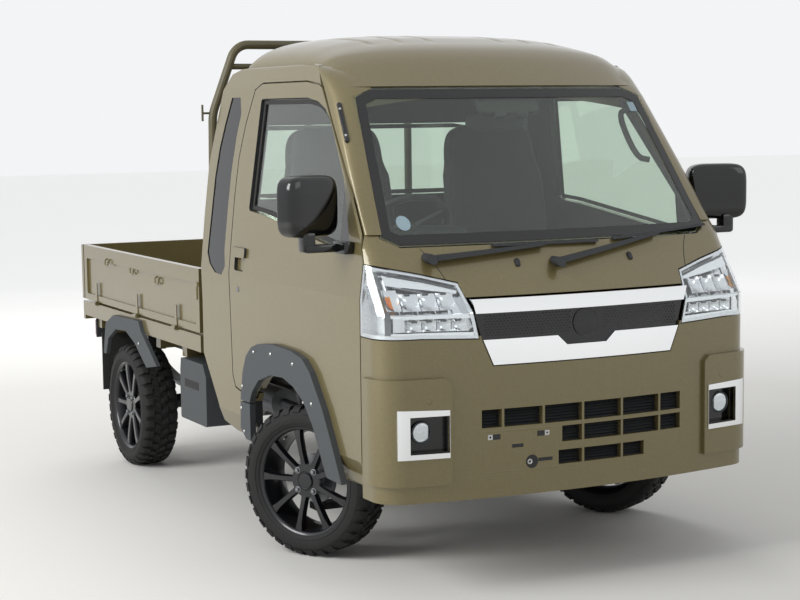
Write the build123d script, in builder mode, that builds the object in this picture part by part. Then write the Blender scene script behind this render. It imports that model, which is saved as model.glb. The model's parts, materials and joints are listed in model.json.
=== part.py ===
"""Kei truck: high-roof cab, three-way drop-side bed, lifted ladder chassis.

Frame: millimetres, +Z up, the nose towards -Y, +X to the vehicle's left.
The origin is on the ground, on the centre line, midway between bumper and tailgate.
"""
import os
from math import atan2, cos, degrees, hypot, radians, sin, tan

from build123d import *

os.makedirs("parts", exist_ok=True)

# ------------------------------------------------------------------ stations along the truck
nose_y = -1697.0            # foremost point of the bumper, on the centre line
front_axle_y = -856.0
wheelbase = 1900.0
rear_axle_y = front_axle_y + wheelbase
tail_y = 1697.0             # rear face of the tailgate's latches
half_width = 737.0          # body side
plan_radius = 3480.0        # the nose and windscreen bow in plan
nose_corner_r = 95.0        # plan radius where the nose turns into the side

# heights of the cab
sill_z = 341.0
sill_crease_z = 440.0
sill_x = 700.0              # the sill's lower edge, turned under the side
overrun = 4.0               # construction faces pass this far outside the body side
belt_z = 985.0              # the side starts to lean in here
lean_top_z = 1700.0
lean_top_x = 650.0
roof_rail_z = 1775.0        # ledge that carries the raised roof
roof_rail_x = 628.0
roof_top_z = 1892.0
rear_wall_y = 36.0

# centre-line points of the nose, as (y, z)
hood_low = (nose_y, 985.0)
screen_low = (-1546.0, 1152.0)
screen_high = (-1160.0, 1686.0)
roof_front_mid = (-1010.0, 1822.0)
roof_front_high = (-800.0, 1874.0)

# walls
cab_wall = 30.0             # pillar and roof rail, outer skin to inner trim
sheet = 12.0                # pressed floor with its sound mat
door_skin = 8.0
door_depth = 44.0
front_panel_wall = 40.0
glass_wall = 5.0
screen_inset = 4.0          # the glass lies this far under the body's surface
screen_flange = 24.0        # body behind the edge of the windscreen
pane_inset = 16.0
quarter_inset = 3.0
fit = 0.3                   # fixed pieces seat this far apart
door_gap = 6.0
door_inner_gap = 12.0
door_hem = 30.0             # the inner door is this much smaller than its skin

# floor levels in the cab and on the bed
foot_floor_z = 460.0
seat_floor_z = 722.0
shelf_z = 1012.0
bed_floor_z = 704.0
bed_top_z = 976.0
gate_low_z = 714.0

# wheels
tyre_r = 275.0
tyre_width = 165.0
rim_r = 200.0
track_half = 660.0          # centre plane of each tyre
rim_pad = 40.0              # mounting face, outboard of the tyre's centre plane
running = 0.5               # gap between a hub and its wheel
running_fit = 0.1           # radial gap between a shaft and its bore
rest_steer = 29.6           # the front wheels stand turned to the left
steer_lock = 38.0

# strut axis: the steering turns about it
kingpin_low_z = 165.0
kingpin_high_z = 700.0
kingpin_hub_x = 600.0
kingpin_lean = 15.0         # degrees, top inboard


def save(name, piece):
    piece.part.label = name
    export_step(piece.part, f"parts/{name}.step")


# ------------------------------------------------------------------ cab body as one convex block
def plan_outline(inset):
    """Plan view of the cab: bowed nose, rounded corners, straight sides."""
    sag = plan_radius - (plan_radius**2 - half_width**2) ** 0.5
    with BuildSketch() as plan:
        with BuildLine():
            ThreePointArc((-half_width, nose_y + sag), (0, nose_y), (half_width, nose_y + sag))
            Polyline((half_width, nose_y + sag), (half_width, 2600), (-half_width, 2600),
                     (-half_width, nose_y + sag))
        make_face()
        fillet(plan.vertices().group_by(Axis.Y)[0], nose_corner_r)
        if inset:
            offset(amount=-inset, kind=Kind.INTERSECTION)
    return plan.sketch


def leaning_prism(low, high, inset, base_z=200.0, top_z=2000.0):
    """The plan outline swept straight along the line from low to high, both (y, z)."""
    run, rise = high[0] - low[0], high[1] - low[1]
    length = hypot(run, rise)
    deeper = inset * (length / rise - 1.0)
    y0 = low[0] + (base_z - low[1]) * run / rise - nose_y + deeper
    face = plan_outline(inset).moved(Location((0, y0, base_z)))
    return extrude(face, amount=(top_z - base_z) * length / rise, dir=(0, run, rise))


def cab_section(inset, top_z=roof_rail_z):
    """Front view of the cab: turned-under sill and leaning glasshouse; the plan cuts the flat side."""
    lean = (half_width - lean_top_x) / (lean_top_z - belt_z)
    under = (half_width - sill_x) / (sill_crease_z - sill_z)
    wide = half_width + overrun
    with BuildSketch(Plane.XZ) as section:
        with BuildLine():
            right = FilletPolyline((0, sill_z), (sill_x, sill_z),
                                   (wide, sill_crease_z + overrun / under),
                                   (wide, belt_z - overrun / lean), (lean_top_x, lean_top_z),
                                   (roof_rail_x, top_z), (0, top_z),
                                   radius=(18, 1, 1, 90, 14))
            mirror(right, about=Plane.YZ)
        make_face()
        if inset:
            offset(amount=-inset, kind=Kind.INTERSECTION)
    return section.sketch


def cab_profile(inset):
    """Side view of the cab behind the nose: sill, stepped rear corner, rear wall, roof line."""
    with BuildSketch(Plane.YZ) as profile:
        with BuildLine():
            Polyline((-2600, sill_z - 2), (-373, sill_z - 2), (-152, 385), (-150, 446), (14, 640),
                     (14, 850), (rear_wall_y, 1190), (rear_wall_y, 1400), (-46, 1690), (-110, 1754), (-200, 1772),
                     (-320, roof_rail_z + 1), (-715, roof_rail_z + 1), (-1000, 1764), (-2600, 1700), close=True)
        make_face()
        if inset:
            offset(amount=-inset, kind=Kind.INTERSECTION)
    return profile.sketch


def cab_block(inset):
    """The cab's outer form, or the same form pulled in by a wall's thickness."""
    block = leaning_prism((nose_y, 0.0), (nose_y, 1000.0), inset)
    block = block & leaning_prism(hood_low, screen_low, inset)
    block = block & leaning_prism(screen_low, screen_high, inset)
    block = block & leaning_prism(screen_high, roof_front_mid, inset)
    block = block & extrude(cab_section(inset), amount=2000, both=True)
    block = block & extrude(cab_profile(inset), amount=900, both=True)
    return block



def prism_x(points, inset=0.0, radius=0.0, x0=0.0, x1=1000.0):
    """A side-view outline of (y, z) points, pulled in by inset, between two x planes."""
    with BuildPart(mode=Mode.PRIVATE) as prism:
        with BuildSketch(Plane.YZ.offset(min(x0, x1))) as outline:
            with BuildLine():
                Polyline(*points, close=True)
            make_face()
            if radius:
                fillet(outline.vertices(), radius)
            if inset:
                offset(amount=-inset, kind=Kind.INTERSECTION)
        extrude(amount=abs(x1 - x0))
    return prism.part


def prism_y(points, inset=0.0, radius=0.0, y0=-1800.0, y1=-1300.0, mirrored=False):
    """A front-view outline of (x, z) points, pulled in by inset, between two y planes."""
    with BuildPart(mode=Mode.PRIVATE) as prism:
        with BuildSketch(Plane.XZ.offset(-max(y0, y1))) as outline:
            with BuildLine():
                Polyline(*points, close=True)
            make_face()
            if radius:
                fillet(outline.vertices(), radius)
            if inset:
                offset(amount=-inset, kind=Kind.INTERSECTION)
            if mirrored:
                mirror(about=Plane.YZ)
        extrude(amount=abs(y1 - y0))
    return prism.part


def box_between(x, y, z):
    """A block from three (low, high) pairs."""
    size = [pair[1] - pair[0] for pair in (x, y, z)]
    middle = [(pair[0] + pair[1]) / 2 for pair in (x, y, z)]
    return Pos(*middle) * Box(*size)


def other_side(shape):
    """The same piece on the truck's other side."""
    return mirror(shape, about=Plane.YZ)


def screen_layer(inset):
    """Everything behind the windscreen's slope, pulled in by inset."""
    return leaning_prism(screen_low, screen_high, inset)


def side_layer(inset):
    """Everything between the two sides, pulled in by inset."""
    return extrude(cab_section(inset), amount=2000, both=True)


def nose_layer(inset):
    """Everything behind the upright part of the nose, pulled in by inset."""
    return leaning_prism((nose_y, 0.0), (nose_y, 1000.0), inset)


cab_outer = cab_block(0)
cab_inner = cab_block(cab_wall)
nose_back = cab_block(front_panel_wall)
bulkhead_face = cab_block(front_panel_wall + fit)
bulkhead_back = cab_block(front_panel_wall + fit + sheet)

# ------------------------------------------------------------------ side-view outlines, (y, z)
door_edge = [(-1465, sill_z + 2), (-1465, 1110), (-1407, 1231), (-1299, 1423), (-1208, 1556),
             (-1105, 1650), (-978, 1700), (-863, 1713), (-450, 1713), (-385, 1690), (-320, 1560),
             (-281, 1430), (-272, 1282), (-276, 1134), (-304, 590), (-330, 545), (-400, 532), (-560, 530),
             (-560, sill_z - 30), (-1290, sill_z - 30), (-1300, sill_z + 2)]
door_window_edge = [(-1365, 1122), (-1254, 1375), (-1184, 1467), (-1096, 1577), (-1049, 1614), (-978, 1641),
                    (-881, 1655), (-455, 1655), (-430, 1233), (-587, 1221)]
window_corner_r = 16
quarter_edge = [(-240, 1662), (-262, 1600), (-236, 1512), (-214, 1369), (-212, 1220), (-216, 1071), (-236, 1006),
                (-205, 972), (-134, 976), (-69, 1007), (-34, 1048), (-44, 1353), (-66, 1468), (-101, 1559),
                (-150, 1662)]

# wheel arch, cut through the door and the sill: its edge in side view
arch_edge = [(-1362, 300), (-1233, 339), (-1172, 427), (-1111, 516), (-1036, 587), (-947, 629),
             (-855, 649), (-736, 643), (-622, 609), (-556, 557), (-530, 515), (-534, 300)]
flare_edge = [(-1350, 346), (-1269, 477), (-1199, 582), (-1096, 698), (-1031, 739), (-930, 755),
              (-754, 759), (-618, 745), (-554, 726), (-500, 686), (-464, 623), (-439, 521),
              (-432, 400), (-488, 366)]
flare_split_z = 505.0
flare_out_x = 760.0
rear_flare_x = 755.0

# front-view outlines, (x, z), right half mirrored
windscreen_edge = [(-655, 1185), (-590, 1655), (-520, 1684), (520, 1684), (590, 1655), (655, 1185),
                   (600, 1154), (-600, 1154)]
lamp_edge = [(445, 1036), (567, 1067), (800, 1116), (800, 866), (600, 866), (405, 858)]
grille_edge = [(-428, 987), (428, 987), (389, 851), (352, 766), (-352, 766), (-389, 851)]

nose_edge = [(-800, 250), (800, 250), (800, 1238), (643, 1238), (655, 1185), (600, 1154),
             (-600, 1154), (-655, 1185), (-643, 1238), (-800, 1238)]
nose_side_edge = [(-1800, 250), (-1468, 250), (-1468, 1112), (-1400, 1244), (-1800, 1244)]
bumper_low_z = 322.0
bumper_top_z = 866.0
seam = 2.0                  # half the gap between two fixed panels

def faceted_ring(outer, bores, sides):
    """A turned piece round +Z with a few flat sides: outer and each bore are (z, radius) stations."""
    with BuildPart(mode=Mode.PRIVATE) as ring:
        for z, radius in outer:
            with BuildSketch(Plane.XY.offset(z)):
                RegularPolygon(radius, sides)
        loft(ruled=True)
        for bore in bores:
            for z, radius in bore:
                with BuildSketch(Plane.XY.offset(z)):
                    RegularPolygon(radius, sides)
            loft(ruled=True, mode=Mode.SUBTRACT)
    flats = [face if face.geom_type == GeomType.PLANE else Face(face.outer_wire()) for face in ring.part.faces()]
    with BuildPart(mode=Mode.PRIVATE) as flat_ring:
        add(Solid(Shell(flats)))
    return flat_ring.part


# ------------------------------------------------------------------ raised roof
def roof_block(inset):
    """The raised roof: sloping front, flat crown with rounded shoulders, short rear slope."""
    with BuildSketch(Plane.XZ) as section:
        with BuildLine():
            right = FilletPolyline((0, 1600), (640, 1600), (598, roof_rail_z), (562, 1866),
                                   (250, roof_top_z - 3), (0, roof_top_z), radius=(1, 300, 62, 200))
            mirror(right, about=Plane.YZ)
        make_face()
        if inset:
            offset(amount=-inset, kind=Kind.INTERSECTION)
    block = leaning_prism(screen_high, roof_front_mid, inset + 1)
    block = block & leaning_prism(roof_front_mid, roof_front_high, inset)
    block = block & extrude(section.sketch, amount=2000, both=True)
    tail = prism_x([(-2400, 1650), (-2400, 1930), (-252, 1904), (-180, 1772), (-150, 1650)],
                   inset, 0, -900, 900)
    return block & tail & box_between((-800, 800), (-2000, 400), (screen_high[1] + 4, 2000))


roof_wall = 24.0
roof_outer = roof_block(0)
roof_hollow = roof_block(roof_wall)

groove_depth = 4.0
groove_width = 26.0
roof_grooves = (roof_outer - roof_block(groove_depth)) & box_between((-600, 600), (-760, -300), (1850, 1900))
groove_strips = [box_between((x - groove_width / 2, x + groove_width / 2), (-800, -200), (1800, 1900))
                 for x in (-390, -270, -150, 150, 270, 390)]
roof_form = roof_outer - roof_hollow - cab_outer
for strip in groove_strips:
    roof_form = roof_form - (roof_grooves & strip)
with BuildPart() as high_roof:
    add(roof_form)
save("high_roof", high_roof)

# ------------------------------------------------------------------ cab shell
cabin_edge = [(-1760, foot_floor_z), (-1245, foot_floor_z), (-1185, seat_floor_z),
              (-425, seat_floor_z), (-400, shelf_z), (200, shelf_z), (200, 1950), (-1760, 1950)]
under_edge = [(-1800, 250), (-1800, foot_floor_z - sheet), (-1233, foot_floor_z - sheet),
              (-1173, seat_floor_z - sheet), (-413, seat_floor_z - sheet),
              (-388, shelf_z - sheet), (200, shelf_z - sheet), (200, 250)]
nose_zone = prism_y(nose_edge) & prism_x(nose_side_edge, 0, 0, -900, 900)
nose_zone = nose_zone - prism_x(door_edge, -door_gap / 2, 0, -900, 900)
cabin = (cab_inner - nose_zone) + (bulkhead_back & nose_zone)
cabin = cabin & prism_x(cabin_edge, 0, 0, -800, 800)
under = prism_x(under_edge, 0, 0, -half_width + cab_wall, half_width - cab_wall)
side_whole = side_layer(0)
door_mouth = (side_whole - side_layer(door_skin + door_gap)) & prism_x(door_edge, -door_gap / 2, 0, -900, 900)
door_way = side_whole - side_layer(door_depth + door_inner_gap)
door_way = door_way & prism_x(door_edge, door_hem - door_inner_gap, 0, -900, 900)
arches = prism_x(arch_edge, 0, 0, -900, 900) - box_between((-640, 640), (-1500, 0), (200, 800))
screen_rabbet = (cab_outer - screen_layer(screen_inset + glass_wall + fit)) & prism_y(windscreen_edge, 0, 0, -1800, -1050)
screen_hole = prism_y(windscreen_edge, screen_flange, 20, -1800, -1050)
quarter_hole = prism_x(quarter_edge, 0, 0, -900, 900) - box_between((-600, 600), (-600, 200), (800, 2000))
rear_window_edge = [(-520, 1250), (-520, 1550), (520, 1550), (520, 1250)]
rear_hole = prism_y(rear_window_edge, 0, 50, -160, 60)

roof_hole = roof_hollow & box_between((-700, 700), (-1400, 0), (1690, 1900))
nose_space = (cab_outer - bulkhead_face) & nose_zone
with BuildPart() as cab_shell:
    add(cab_outer)
    add(nose_space, mode=Mode.SUBTRACT)
    add(cabin, mode=Mode.SUBTRACT)
    add(under, mode=Mode.SUBTRACT)
    add(roof_hole, mode=Mode.SUBTRACT)
    add(door_mouth, mode=Mode.SUBTRACT)
    add(door_way, mode=Mode.SUBTRACT)
    add(arches, mode=Mode.SUBTRACT)
    add(screen_rabbet, mode=Mode.SUBTRACT)
    add(screen_hole, mode=Mode.SUBTRACT)
    add(quarter_hole, mode=Mode.SUBTRACT)
    add(rear_hole, mode=Mode.SUBTRACT)
save("cab_shell", cab_shell)

# ------------------------------------------------------------------ fixed glass
screen_form = screen_layer(screen_inset) - screen_layer(screen_inset + glass_wall)
screen_form = screen_form & prism_y(windscreen_edge, fit, 0, -1800, -1050)
with BuildPart() as windscreen:
    add(screen_form)
save("windscreen", windscreen)

rear_slab = box_between((-800, 800), (rear_wall_y - 17, rear_wall_y - 12), (1100, 1700))
rear_form = rear_slab & prism_y(rear_window_edge, fit, 50, -160, 60)
with BuildPart() as rear_window:
    add(rear_form)
save("rear_window", rear_window)

quarter_zone = prism_x(quarter_edge, fit, 0, -900, -600)
quarter_pane = (side_layer(quarter_inset) - side_layer(quarter_inset + glass_wall)) & quarter_zone
with BuildPart() as quarter_windows:
    add(quarter_pane)
    add(other_side(quarter_pane))
save("quarter_windows", quarter_windows)

# ------------------------------------------------------------------ nose: panel, lamps, grille, bumper
lamp_zone = prism_y(lamp_edge, 0, 0, -1800, -1468, mirrored=True)
lamp_clear = prism_y(lamp_edge, -2 * seam, 0, -1800, -1400, mirrored=True)
grille_zone = prism_y(grille_edge, 0, 0, -1800, -1500)
grille_clear = prism_y(grille_edge, -2 * seam, 0, -1800, -1500)
nose_skin = (cab_outer - nose_back) & nose_zone

upper_edge = [(-800, 985), (800, 985), (800, 1238), (643, 1238), (655, 1185), (600, 1154),
              (-600, 1154), (-655, 1185), (-643, 1238), (-800, 1238)]
upper_form = (nose_skin & prism_y(upper_edge, seam)) - screen_rabbet
with BuildPart() as front_panel:
    add(upper_form)
    add(lamp_clear, mode=Mode.SUBTRACT)
    add(grille_clear, mode=Mode.SUBTRACT)
save("front_panel", front_panel)

lamp_inner_edge = [(453, 1028), (560, 1056), (800, 1104), (800, 878), (604, 878), (418, 868)]
lens_wall = 4.0
bowl_front = cab_block(lens_wall + fit)
lens_form = (cab_outer - cab_block(lens_wall)) & lamp_zone & nose_zone
bowl_form = ((bowl_front - nose_back) & lamp_zone & nose_zone)
bowl_form = bowl_form - ((bowl_front - cab_inner) & prism_y(lamp_inner_edge, 0, 0, -1800, -1478, mirrored=True))
with BuildPart() as headlamps:
    add(lens_form)
save("headlamps", headlamps)
with BuildPart() as lamp_bowls:
    add(bowl_form)
save("lamp_bowls", lamp_bowls)

bar_high_z = 939.0
bar_low_z = 851.0
bars_zone = grille_zone - box_between((-800, 800), (-1800, -1400), (bar_low_z, bar_high_z))
bars_zone = bars_zone - prism_y([(-118, 855), (-78, 818), (78, 818), (118, 855)])
bar_depth = 24.0
panel_recess = 10.0
grille_back = nose_layer(front_panel_wall)
bars_form = (nose_layer(0) - nose_layer(bar_depth)) & bars_zone
panel_form = (nose_layer(panel_recess) - grille_back) & (grille_zone - bars_zone)
panel_form = panel_form + ((nose_layer(bar_depth + fit) - grille_back) & bars_zone)
with BuildPart() as grille_bars:
    add(bars_form)
save("grille_bars", grille_bars)
with BuildPart() as grille_panel:
    add(panel_form)
save("grille_panel", grille_panel)

# bumper: plan of the nose, straight up and down, hollow behind
pod_proud = 14.0
bumper_form = nose_layer(0)
bumper_hollow = nose_layer(36)
pod_form = nose_layer(-pod_proud)
bumper_span = box_between((-760, 760), (-1760, -1468), (bumper_low_z, bumper_top_z))
pod_edge = [(506, 381), (506, 714), (530, 734), (800, 734), (800, 381)]
pod_zone = prism_y(pod_edge, 0, 0, -1800, -1500, mirrored=True)
fog_hole_edge = [(519, 489), (519, 612), (653, 612), (653, 489)]
fog_zone = prism_y(fog_hole_edge, 0, 0, -1800, -1500, mirrored=True)
slot_rows = [  # (x_low, x_high, z_low, z_high) of each row of openings
    (-401, 403, 557, 618),
    (-103, 403, 489, 543),
    (-117, 241, 413, 461),
]
rib_x = (-320, -169, -16, 143, 305)
rib_width = 9.0

slots = []
for x_low, x_high, z_low, z_high in slot_rows:
    ends = [x_low] + [x for x in rib_x if x_low < x < x_high] + [x_high]
    for low, high in zip(ends, ends[1:]):
        slots.append(box_between((low + rib_width / 2, high - rib_width / 2), (-1800, -1560), (z_low, z_high)))
plate_holes = (-367.0, -157.0)
plate_hole_z = 525.0
plate_hole_r = 3.25
bumper_walls = (bumper_form - bumper_hollow) & bumper_span
pods = (pod_form - bumper_hollow) & pod_zone
with BuildPart() as bumper:
    add(bumper_walls)
    add(pods)
    add(lamp_clear, mode=Mode.SUBTRACT)
    add(grille_clear, mode=Mode.SUBTRACT)
    add(fog_zone, mode=Mode.SUBTRACT)
    add(slots, mode=Mode.SUBTRACT)
    with BuildSketch(Plane.XZ.offset(1600)):
        with Locations(*[(x, plate_hole_z) for x in plate_holes]):
            Circle(plate_hole_r)
    extrude(amount=200, mode=Mode.SUBTRACT)
save("bumper", bumper)

fog_recess = 16.0
fog_form = (nose_layer(fog_recess) - bumper_hollow) & prism_y(fog_hole_edge, fit, 0, -1800, -1500, mirrored=True)
with BuildPart() as fog_lamps:
    add(fog_form)
save("fog_lamps", fog_lamps)

bezel_edge = [(518, 472), (518, 630), (694, 636), (694, 472)]
bezel_form = nose_layer(-pod_proud - 8) - nose_layer(-pod_proud - fit)
bezel_form = bezel_form & prism_y(bezel_edge, 0, 0, -1800, -1500, mirrored=True)
with BuildPart() as fog_bezels:
    add(bezel_form)
    add(fog_zone, mode=Mode.SUBTRACT)
save("fog_bezels", fog_bezels)

# ------------------------------------------------------------------ doors
hinge_x = half_width + 5.0
hinge_y = -1465.0
door_clear = box_between((-690, 690), (-1700, 0), (250, 950))

side_body = side_whole & cab_outer
skin = (side_body - side_layer(door_skin)) & prism_x(door_edge, door_gap / 2, 0, -900, -550)
core = (side_body & (side_layer(door_skin) - side_layer(door_depth)))
core = core & prism_x(door_edge, door_hem, 0, -900, -550)
window = prism_x(door_window_edge, 0, window_corner_r, -900, -500)
door_form = skin - prism_x(arch_edge, 0, 0, -900, -500)
door_form = door_form + (core - prism_x(arch_edge, -14, 0, -900, -500)) - window - door_clear
handle_edge = [(-446, 1052), (-446, 1090), (-318, 1090), (-318, 1052)]
pocket_edge = [(-432, 1000), (-436, 1058), (-330, 1058), (-334, 1000)]
handle_form = (side_layer(-10) - side_layer(4)) & prism_x(handle_edge, 0, 10, -900, -550)
pocket_form = (side_layer(-20) - side_layer(14)) & prism_x(pocket_edge, 0, 14, -900, -550)
handle_grip = (side_layer(-10) - side_layer(-4)) & prism_x(handle_edge, 0, 10, -900, -550)
door_form = (door_form + handle_form) - pocket_form + handle_grip
pane_form = side_layer(pane_inset) - side_layer(pane_inset + glass_wall)
pane_form = pane_form & prism_x(door_window_edge, fit, window_corner_r, -900, -500)

with BuildPart() as door_right:
    add(door_form)
save("door_right", door_right)
with BuildPart() as door_left:
    add(other_side(door_form))
save("door_left", door_left)
with BuildPart() as door_glass_right:
    add(pane_form)
save("door_glass_right", door_glass_right)
with BuildPart() as door_glass_left:
    add(other_side(pane_form))
save("door_glass_left", door_glass_left)

# arch flares: the upper piece rides on the door, the short lower one stays on the sill
flare_form = prism_x(flare_edge, 0, 0, -flare_out_x, -half_width - fit)
flare_form = flare_form - prism_x(arch_edge, 0, 0, -900, -500)
flare_low = box_between((-900, -500), (-600, -400), (300, flare_split_z))
flare_high = flare_form - box_between((-900, -500), (-600, -400), (300, flare_split_z + door_gap))
with BuildPart() as door_flare_right:
    add(flare_high)
save("door_flare_right", door_flare_right)
with BuildPart() as door_flare_left:
    add(other_side(flare_high))
save("door_flare_left", door_flare_left)
rear_flare_edge = [(1312, 488), (1272, 632), (1153, 681), (788, 690), (760, 649), (554, 515), (694, 493),
                   (845, 583), (972, 626), (1124, 618), (1233, 566), (1272, 488)]
rear_flare = prism_x(rear_flare_edge, 0, 0, -rear_flare_x, -half_width - fit)
flap_y = front_axle_y + wheelbase + 346
mud_flap = box_between((-half_width, -575), (flap_y, flap_y + 6), (300, 572 - fit))
with BuildPart() as body_flares:
    for piece in (flare_form & flare_low, rear_flare):
        add(piece)
        add(other_side(piece))
save("body_flares", body_flares)

# door mirrors: a rounded shell on a short arm from the sail at the window's front corner
mirror_size = (190.0, 92.0, 198.0)
mirror_at = (-858.0, -1282.0, 1292.0)
mirror_turn = 20.0
mirror_root_y = -1360.0
mirror_arm_z = 1150.0
with BuildPart(mode=Mode.PRIVATE) as mirror_case:
    with BuildSketch(Plane.XY) as case_plan:
        Rectangle(mirror_size[0], mirror_size[1])
        fillet(case_plan.vertices(), 34)
    extrude(amount=mirror_size[2] / 2, both=True)
    chamfer(mirror_case.edges().group_by(Axis.Z)[-1] + mirror_case.edges().group_by(Axis.Z)[0], 14)
case = mirror_case.part.moved(Location(mirror_at, (0, 0, mirror_turn)))
arm_foot = box_between((-760, -half_width + 24), (mirror_root_y - 34, mirror_root_y + 34),
                       (mirror_arm_z - 22, mirror_arm_z + 22))
arm = box_between((mirror_at[0], -750), (mirror_root_y + 2, mirror_root_y + 50),
                  (mirror_arm_z - 14, mirror_arm_z + 14))
post = box_between((mirror_at[0] - 25, mirror_at[0] + 25), (mirror_root_y + 2, mirror_root_y + 75),
                   (mirror_arm_z - 14, mirror_at[2] - mirror_size[2] / 2 + 8))
mirror_form = (case + arm + post + arm_foot) - cab_outer
with BuildPart() as mirror_right:
    add(mirror_form)
save("mirror_right", mirror_right)
with BuildPart() as mirror_left:
    add(other_side(mirror_form))
save("mirror_left", mirror_left)

# ------------------------------------------------------------------ bed
bed_front_y = 48.0
bed_rear_y = 1649.0
gate_wall = 30.0
gate_end_gap = 6.0
gate_hinge_x = half_width + 13.0
gate_hinge_z = bed_floor_z + 3.0
rail_low_z = 634.0
floor_wall = 12.0
frame_top_z = 572.0
frame_rail_x = 340.0
frame_rail = (60.0, 96.0)
frame_wall = 5.0
tunnel_y = -376.0
floor_half = half_width - gate_wall - 4.0
tunnel_half = 680.0
sill_stations = (-330.0, 70.0, 400.0, 740.0, 1385.0, 1600.0)
sill_section = (56.0, bed_floor_z - floor_wall - frame_top_z)

hinge_r = 8.0
hinge_pin_r = 4.0
hinge_lug = 12.0
hinge_half = 26.0
strap_wall = 4.0
strap_top_z = gate_low_z + 90
tail_hinge_y = tail_y - 7.0
side_hinges = (336.0, 850.0, 1451.0)
tail_hinges = (-520.0, 0.0, 520.0)


def hinge_fixed(face, axis_at, station, turn):
    """Two lugs and the pin between them, on the bed's rail. face is the rail's outer face."""
    with BuildPart(mode=Mode.PRIVATE) as fixed:
        for end in (-1, 1):
            with BuildSketch(Plane.XZ.offset(-(station + end * hinge_half))):
                with Locations(((face + axis_at) / 2, gate_hinge_z - 3)):
                    Rectangle(abs(axis_at - face), 10)
                with Locations((axis_at, gate_hinge_z)):
                    Circle(hinge_r - 1)
            extrude(amount=end * hinge_lug)
        with BuildSketch(Plane.XZ.offset(-(station - hinge_half))):
            with Locations((axis_at, gate_hinge_z)):
                Circle(hinge_pin_r)
        extrude(amount=-2 * hinge_half)
    return fixed.part.rotate(Axis.Z, turn)


def hinge_moving(face, axis_at, station, turn):
    """The gate's barrel round that pin, and the strap up the gate's outer face."""
    span = 2 * (hinge_half - hinge_lug - 0.5)
    out = 1 if axis_at > face else -1
    with BuildPart(mode=Mode.PRIVATE) as moving:
        with BuildSketch(Plane.XZ.offset(-(station - span / 2))):
            with Locations((axis_at, gate_hinge_z)):
                Circle(hinge_r - 1)
            with Locations((face + out * strap_wall / 2, (gate_low_z + strap_top_z) / 2)):
                Rectangle(strap_wall, strap_top_z - gate_low_z)
            with Locations(((face + axis_at) / 2, gate_hinge_z + 5)):
                Rectangle(abs(axis_at - face), 10)
            with Locations((axis_at, gate_hinge_z)):
                Circle(hinge_pin_r + running_fit, mode=Mode.SUBTRACT)
        extrude(amount=-span)
    return moving.part.rotate(Axis.Z, turn)


deck_step = 1.0             # the rails lie this far under the deck
deck_margin = 8.0
deck_front_y = 104.0
floor_plate = box_between((-floor_half, floor_half), (bed_front_y, bed_rear_y),
                          (bed_floor_z - floor_wall, bed_floor_z - deck_step))
deck_top = box_between((-floor_half + deck_margin, floor_half - deck_margin), (deck_front_y, bed_rear_y - 4),
                       (bed_floor_z - floor_wall, bed_floor_z))
tunnel_plate = box_between((-tunnel_half, tunnel_half), (tunnel_y, bed_front_y),
                           (bed_floor_z - floor_wall, bed_floor_z - deck_step))
side_rail = box_between((-half_width, -floor_half), (bed_front_y, bed_rear_y), (rail_low_z, bed_floor_z - deck_step))
rear_rail = box_between((-half_width, half_width), (bed_rear_y, bed_rear_y + 26), (rail_low_z - 20, bed_floor_z - deck_step))
hinge_lugs = []
for station in side_hinges:
    lug = hinge_fixed(-half_width, -gate_hinge_x, station, 0)
    hinge_lugs += [lug, other_side(lug)]
for station in tail_hinges:
    hinge_lugs.append(hinge_fixed(-bed_rear_y - 26, -tail_hinge_y, station, -90))
with BuildPart() as bed_floor:
    add(floor_plate)
    add(deck_top)
    for piece in hinge_lugs:
        add(piece)
    add(tunnel_plate)
    add(side_rail)
    add(other_side(side_rail))
    add(rear_rail)
    for y in sill_stations:
        with BuildSketch(Plane.XY.offset(bed_floor_z - floor_wall)):
            with Locations((0, y)):
                Rectangle(2 * tunnel_half, sill_section[0])
        extrude(amount=-sill_section[1])
save("bed_floor", bed_floor)

gate_high = bed_top_z
side_straps = [hinge_moving(-half_width, -gate_hinge_x, station, 0) for station in side_hinges]
with BuildPart() as side_gate_right:
    with BuildSketch(Plane.XZ.offset(-bed_front_y - gate_end_gap)) as section:
        with BuildLine():
            Polyline((-half_width, gate_low_z), (-half_width, gate_high), (-half_width + gate_wall, gate_high),
                     (-half_width + gate_wall, gate_low_z), close=True)
        make_face()
    extrude(amount=-(bed_rear_y - 2 * gate_end_gap - bed_front_y))
    with BuildSketch(Plane.YZ.offset(-half_width)):
        with Locations(((bed_front_y + bed_rear_y) / 2, gate_low_z + 115)):
            RectangleRounded(bed_rear_y - bed_front_y - 90, 170, 12)
    extrude(amount=10, mode=Mode.SUBTRACT)
    for piece in side_straps:
        add(piece)
save("side_gate_right", side_gate_right)
side_gate_mirrored = other_side(side_gate_right.part)
with BuildPart() as side_gate_left:
    add(side_gate_mirrored)
save("side_gate_left", side_gate_left)

tail_in = bed_rear_y + gate_end_gap
tail_straps = [hinge_moving(-tail_in - gate_wall, -tail_hinge_y, station, -90) for station in tail_hinges]
latch_stations = (-650.0, 650.0)
latch_size = (34.0, 96.0)
with BuildPart() as tailgate:
    with BuildSketch(Plane.YZ.offset(-half_width)) as section:
        with BuildLine():
            Polyline((tail_in, gate_low_z), (tail_in, gate_high), (tail_in + gate_wall, gate_high),
                     (tail_in + gate_wall, gate_low_z), close=True)
        make_face()
    extrude(amount=2 * half_width)
    with BuildSketch(Plane.XZ.offset(-(tail_in + gate_wall))):
        with Locations((0, gate_low_z + 115)):
            RectangleRounded(2 * latch_stations[1] - 60, 170, 12)
    extrude(amount=10, mode=Mode.SUBTRACT)
    with BuildSketch(Plane.XZ.offset(-(tail_in + gate_wall))):
        with Locations(*[(x, gate_high - 66) for x in latch_stations]):
            Rectangle(*latch_size)
    extrude(amount=-(tail_y - tail_in - gate_wall))
    for piece in tail_straps:
        add(piece)
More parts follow.
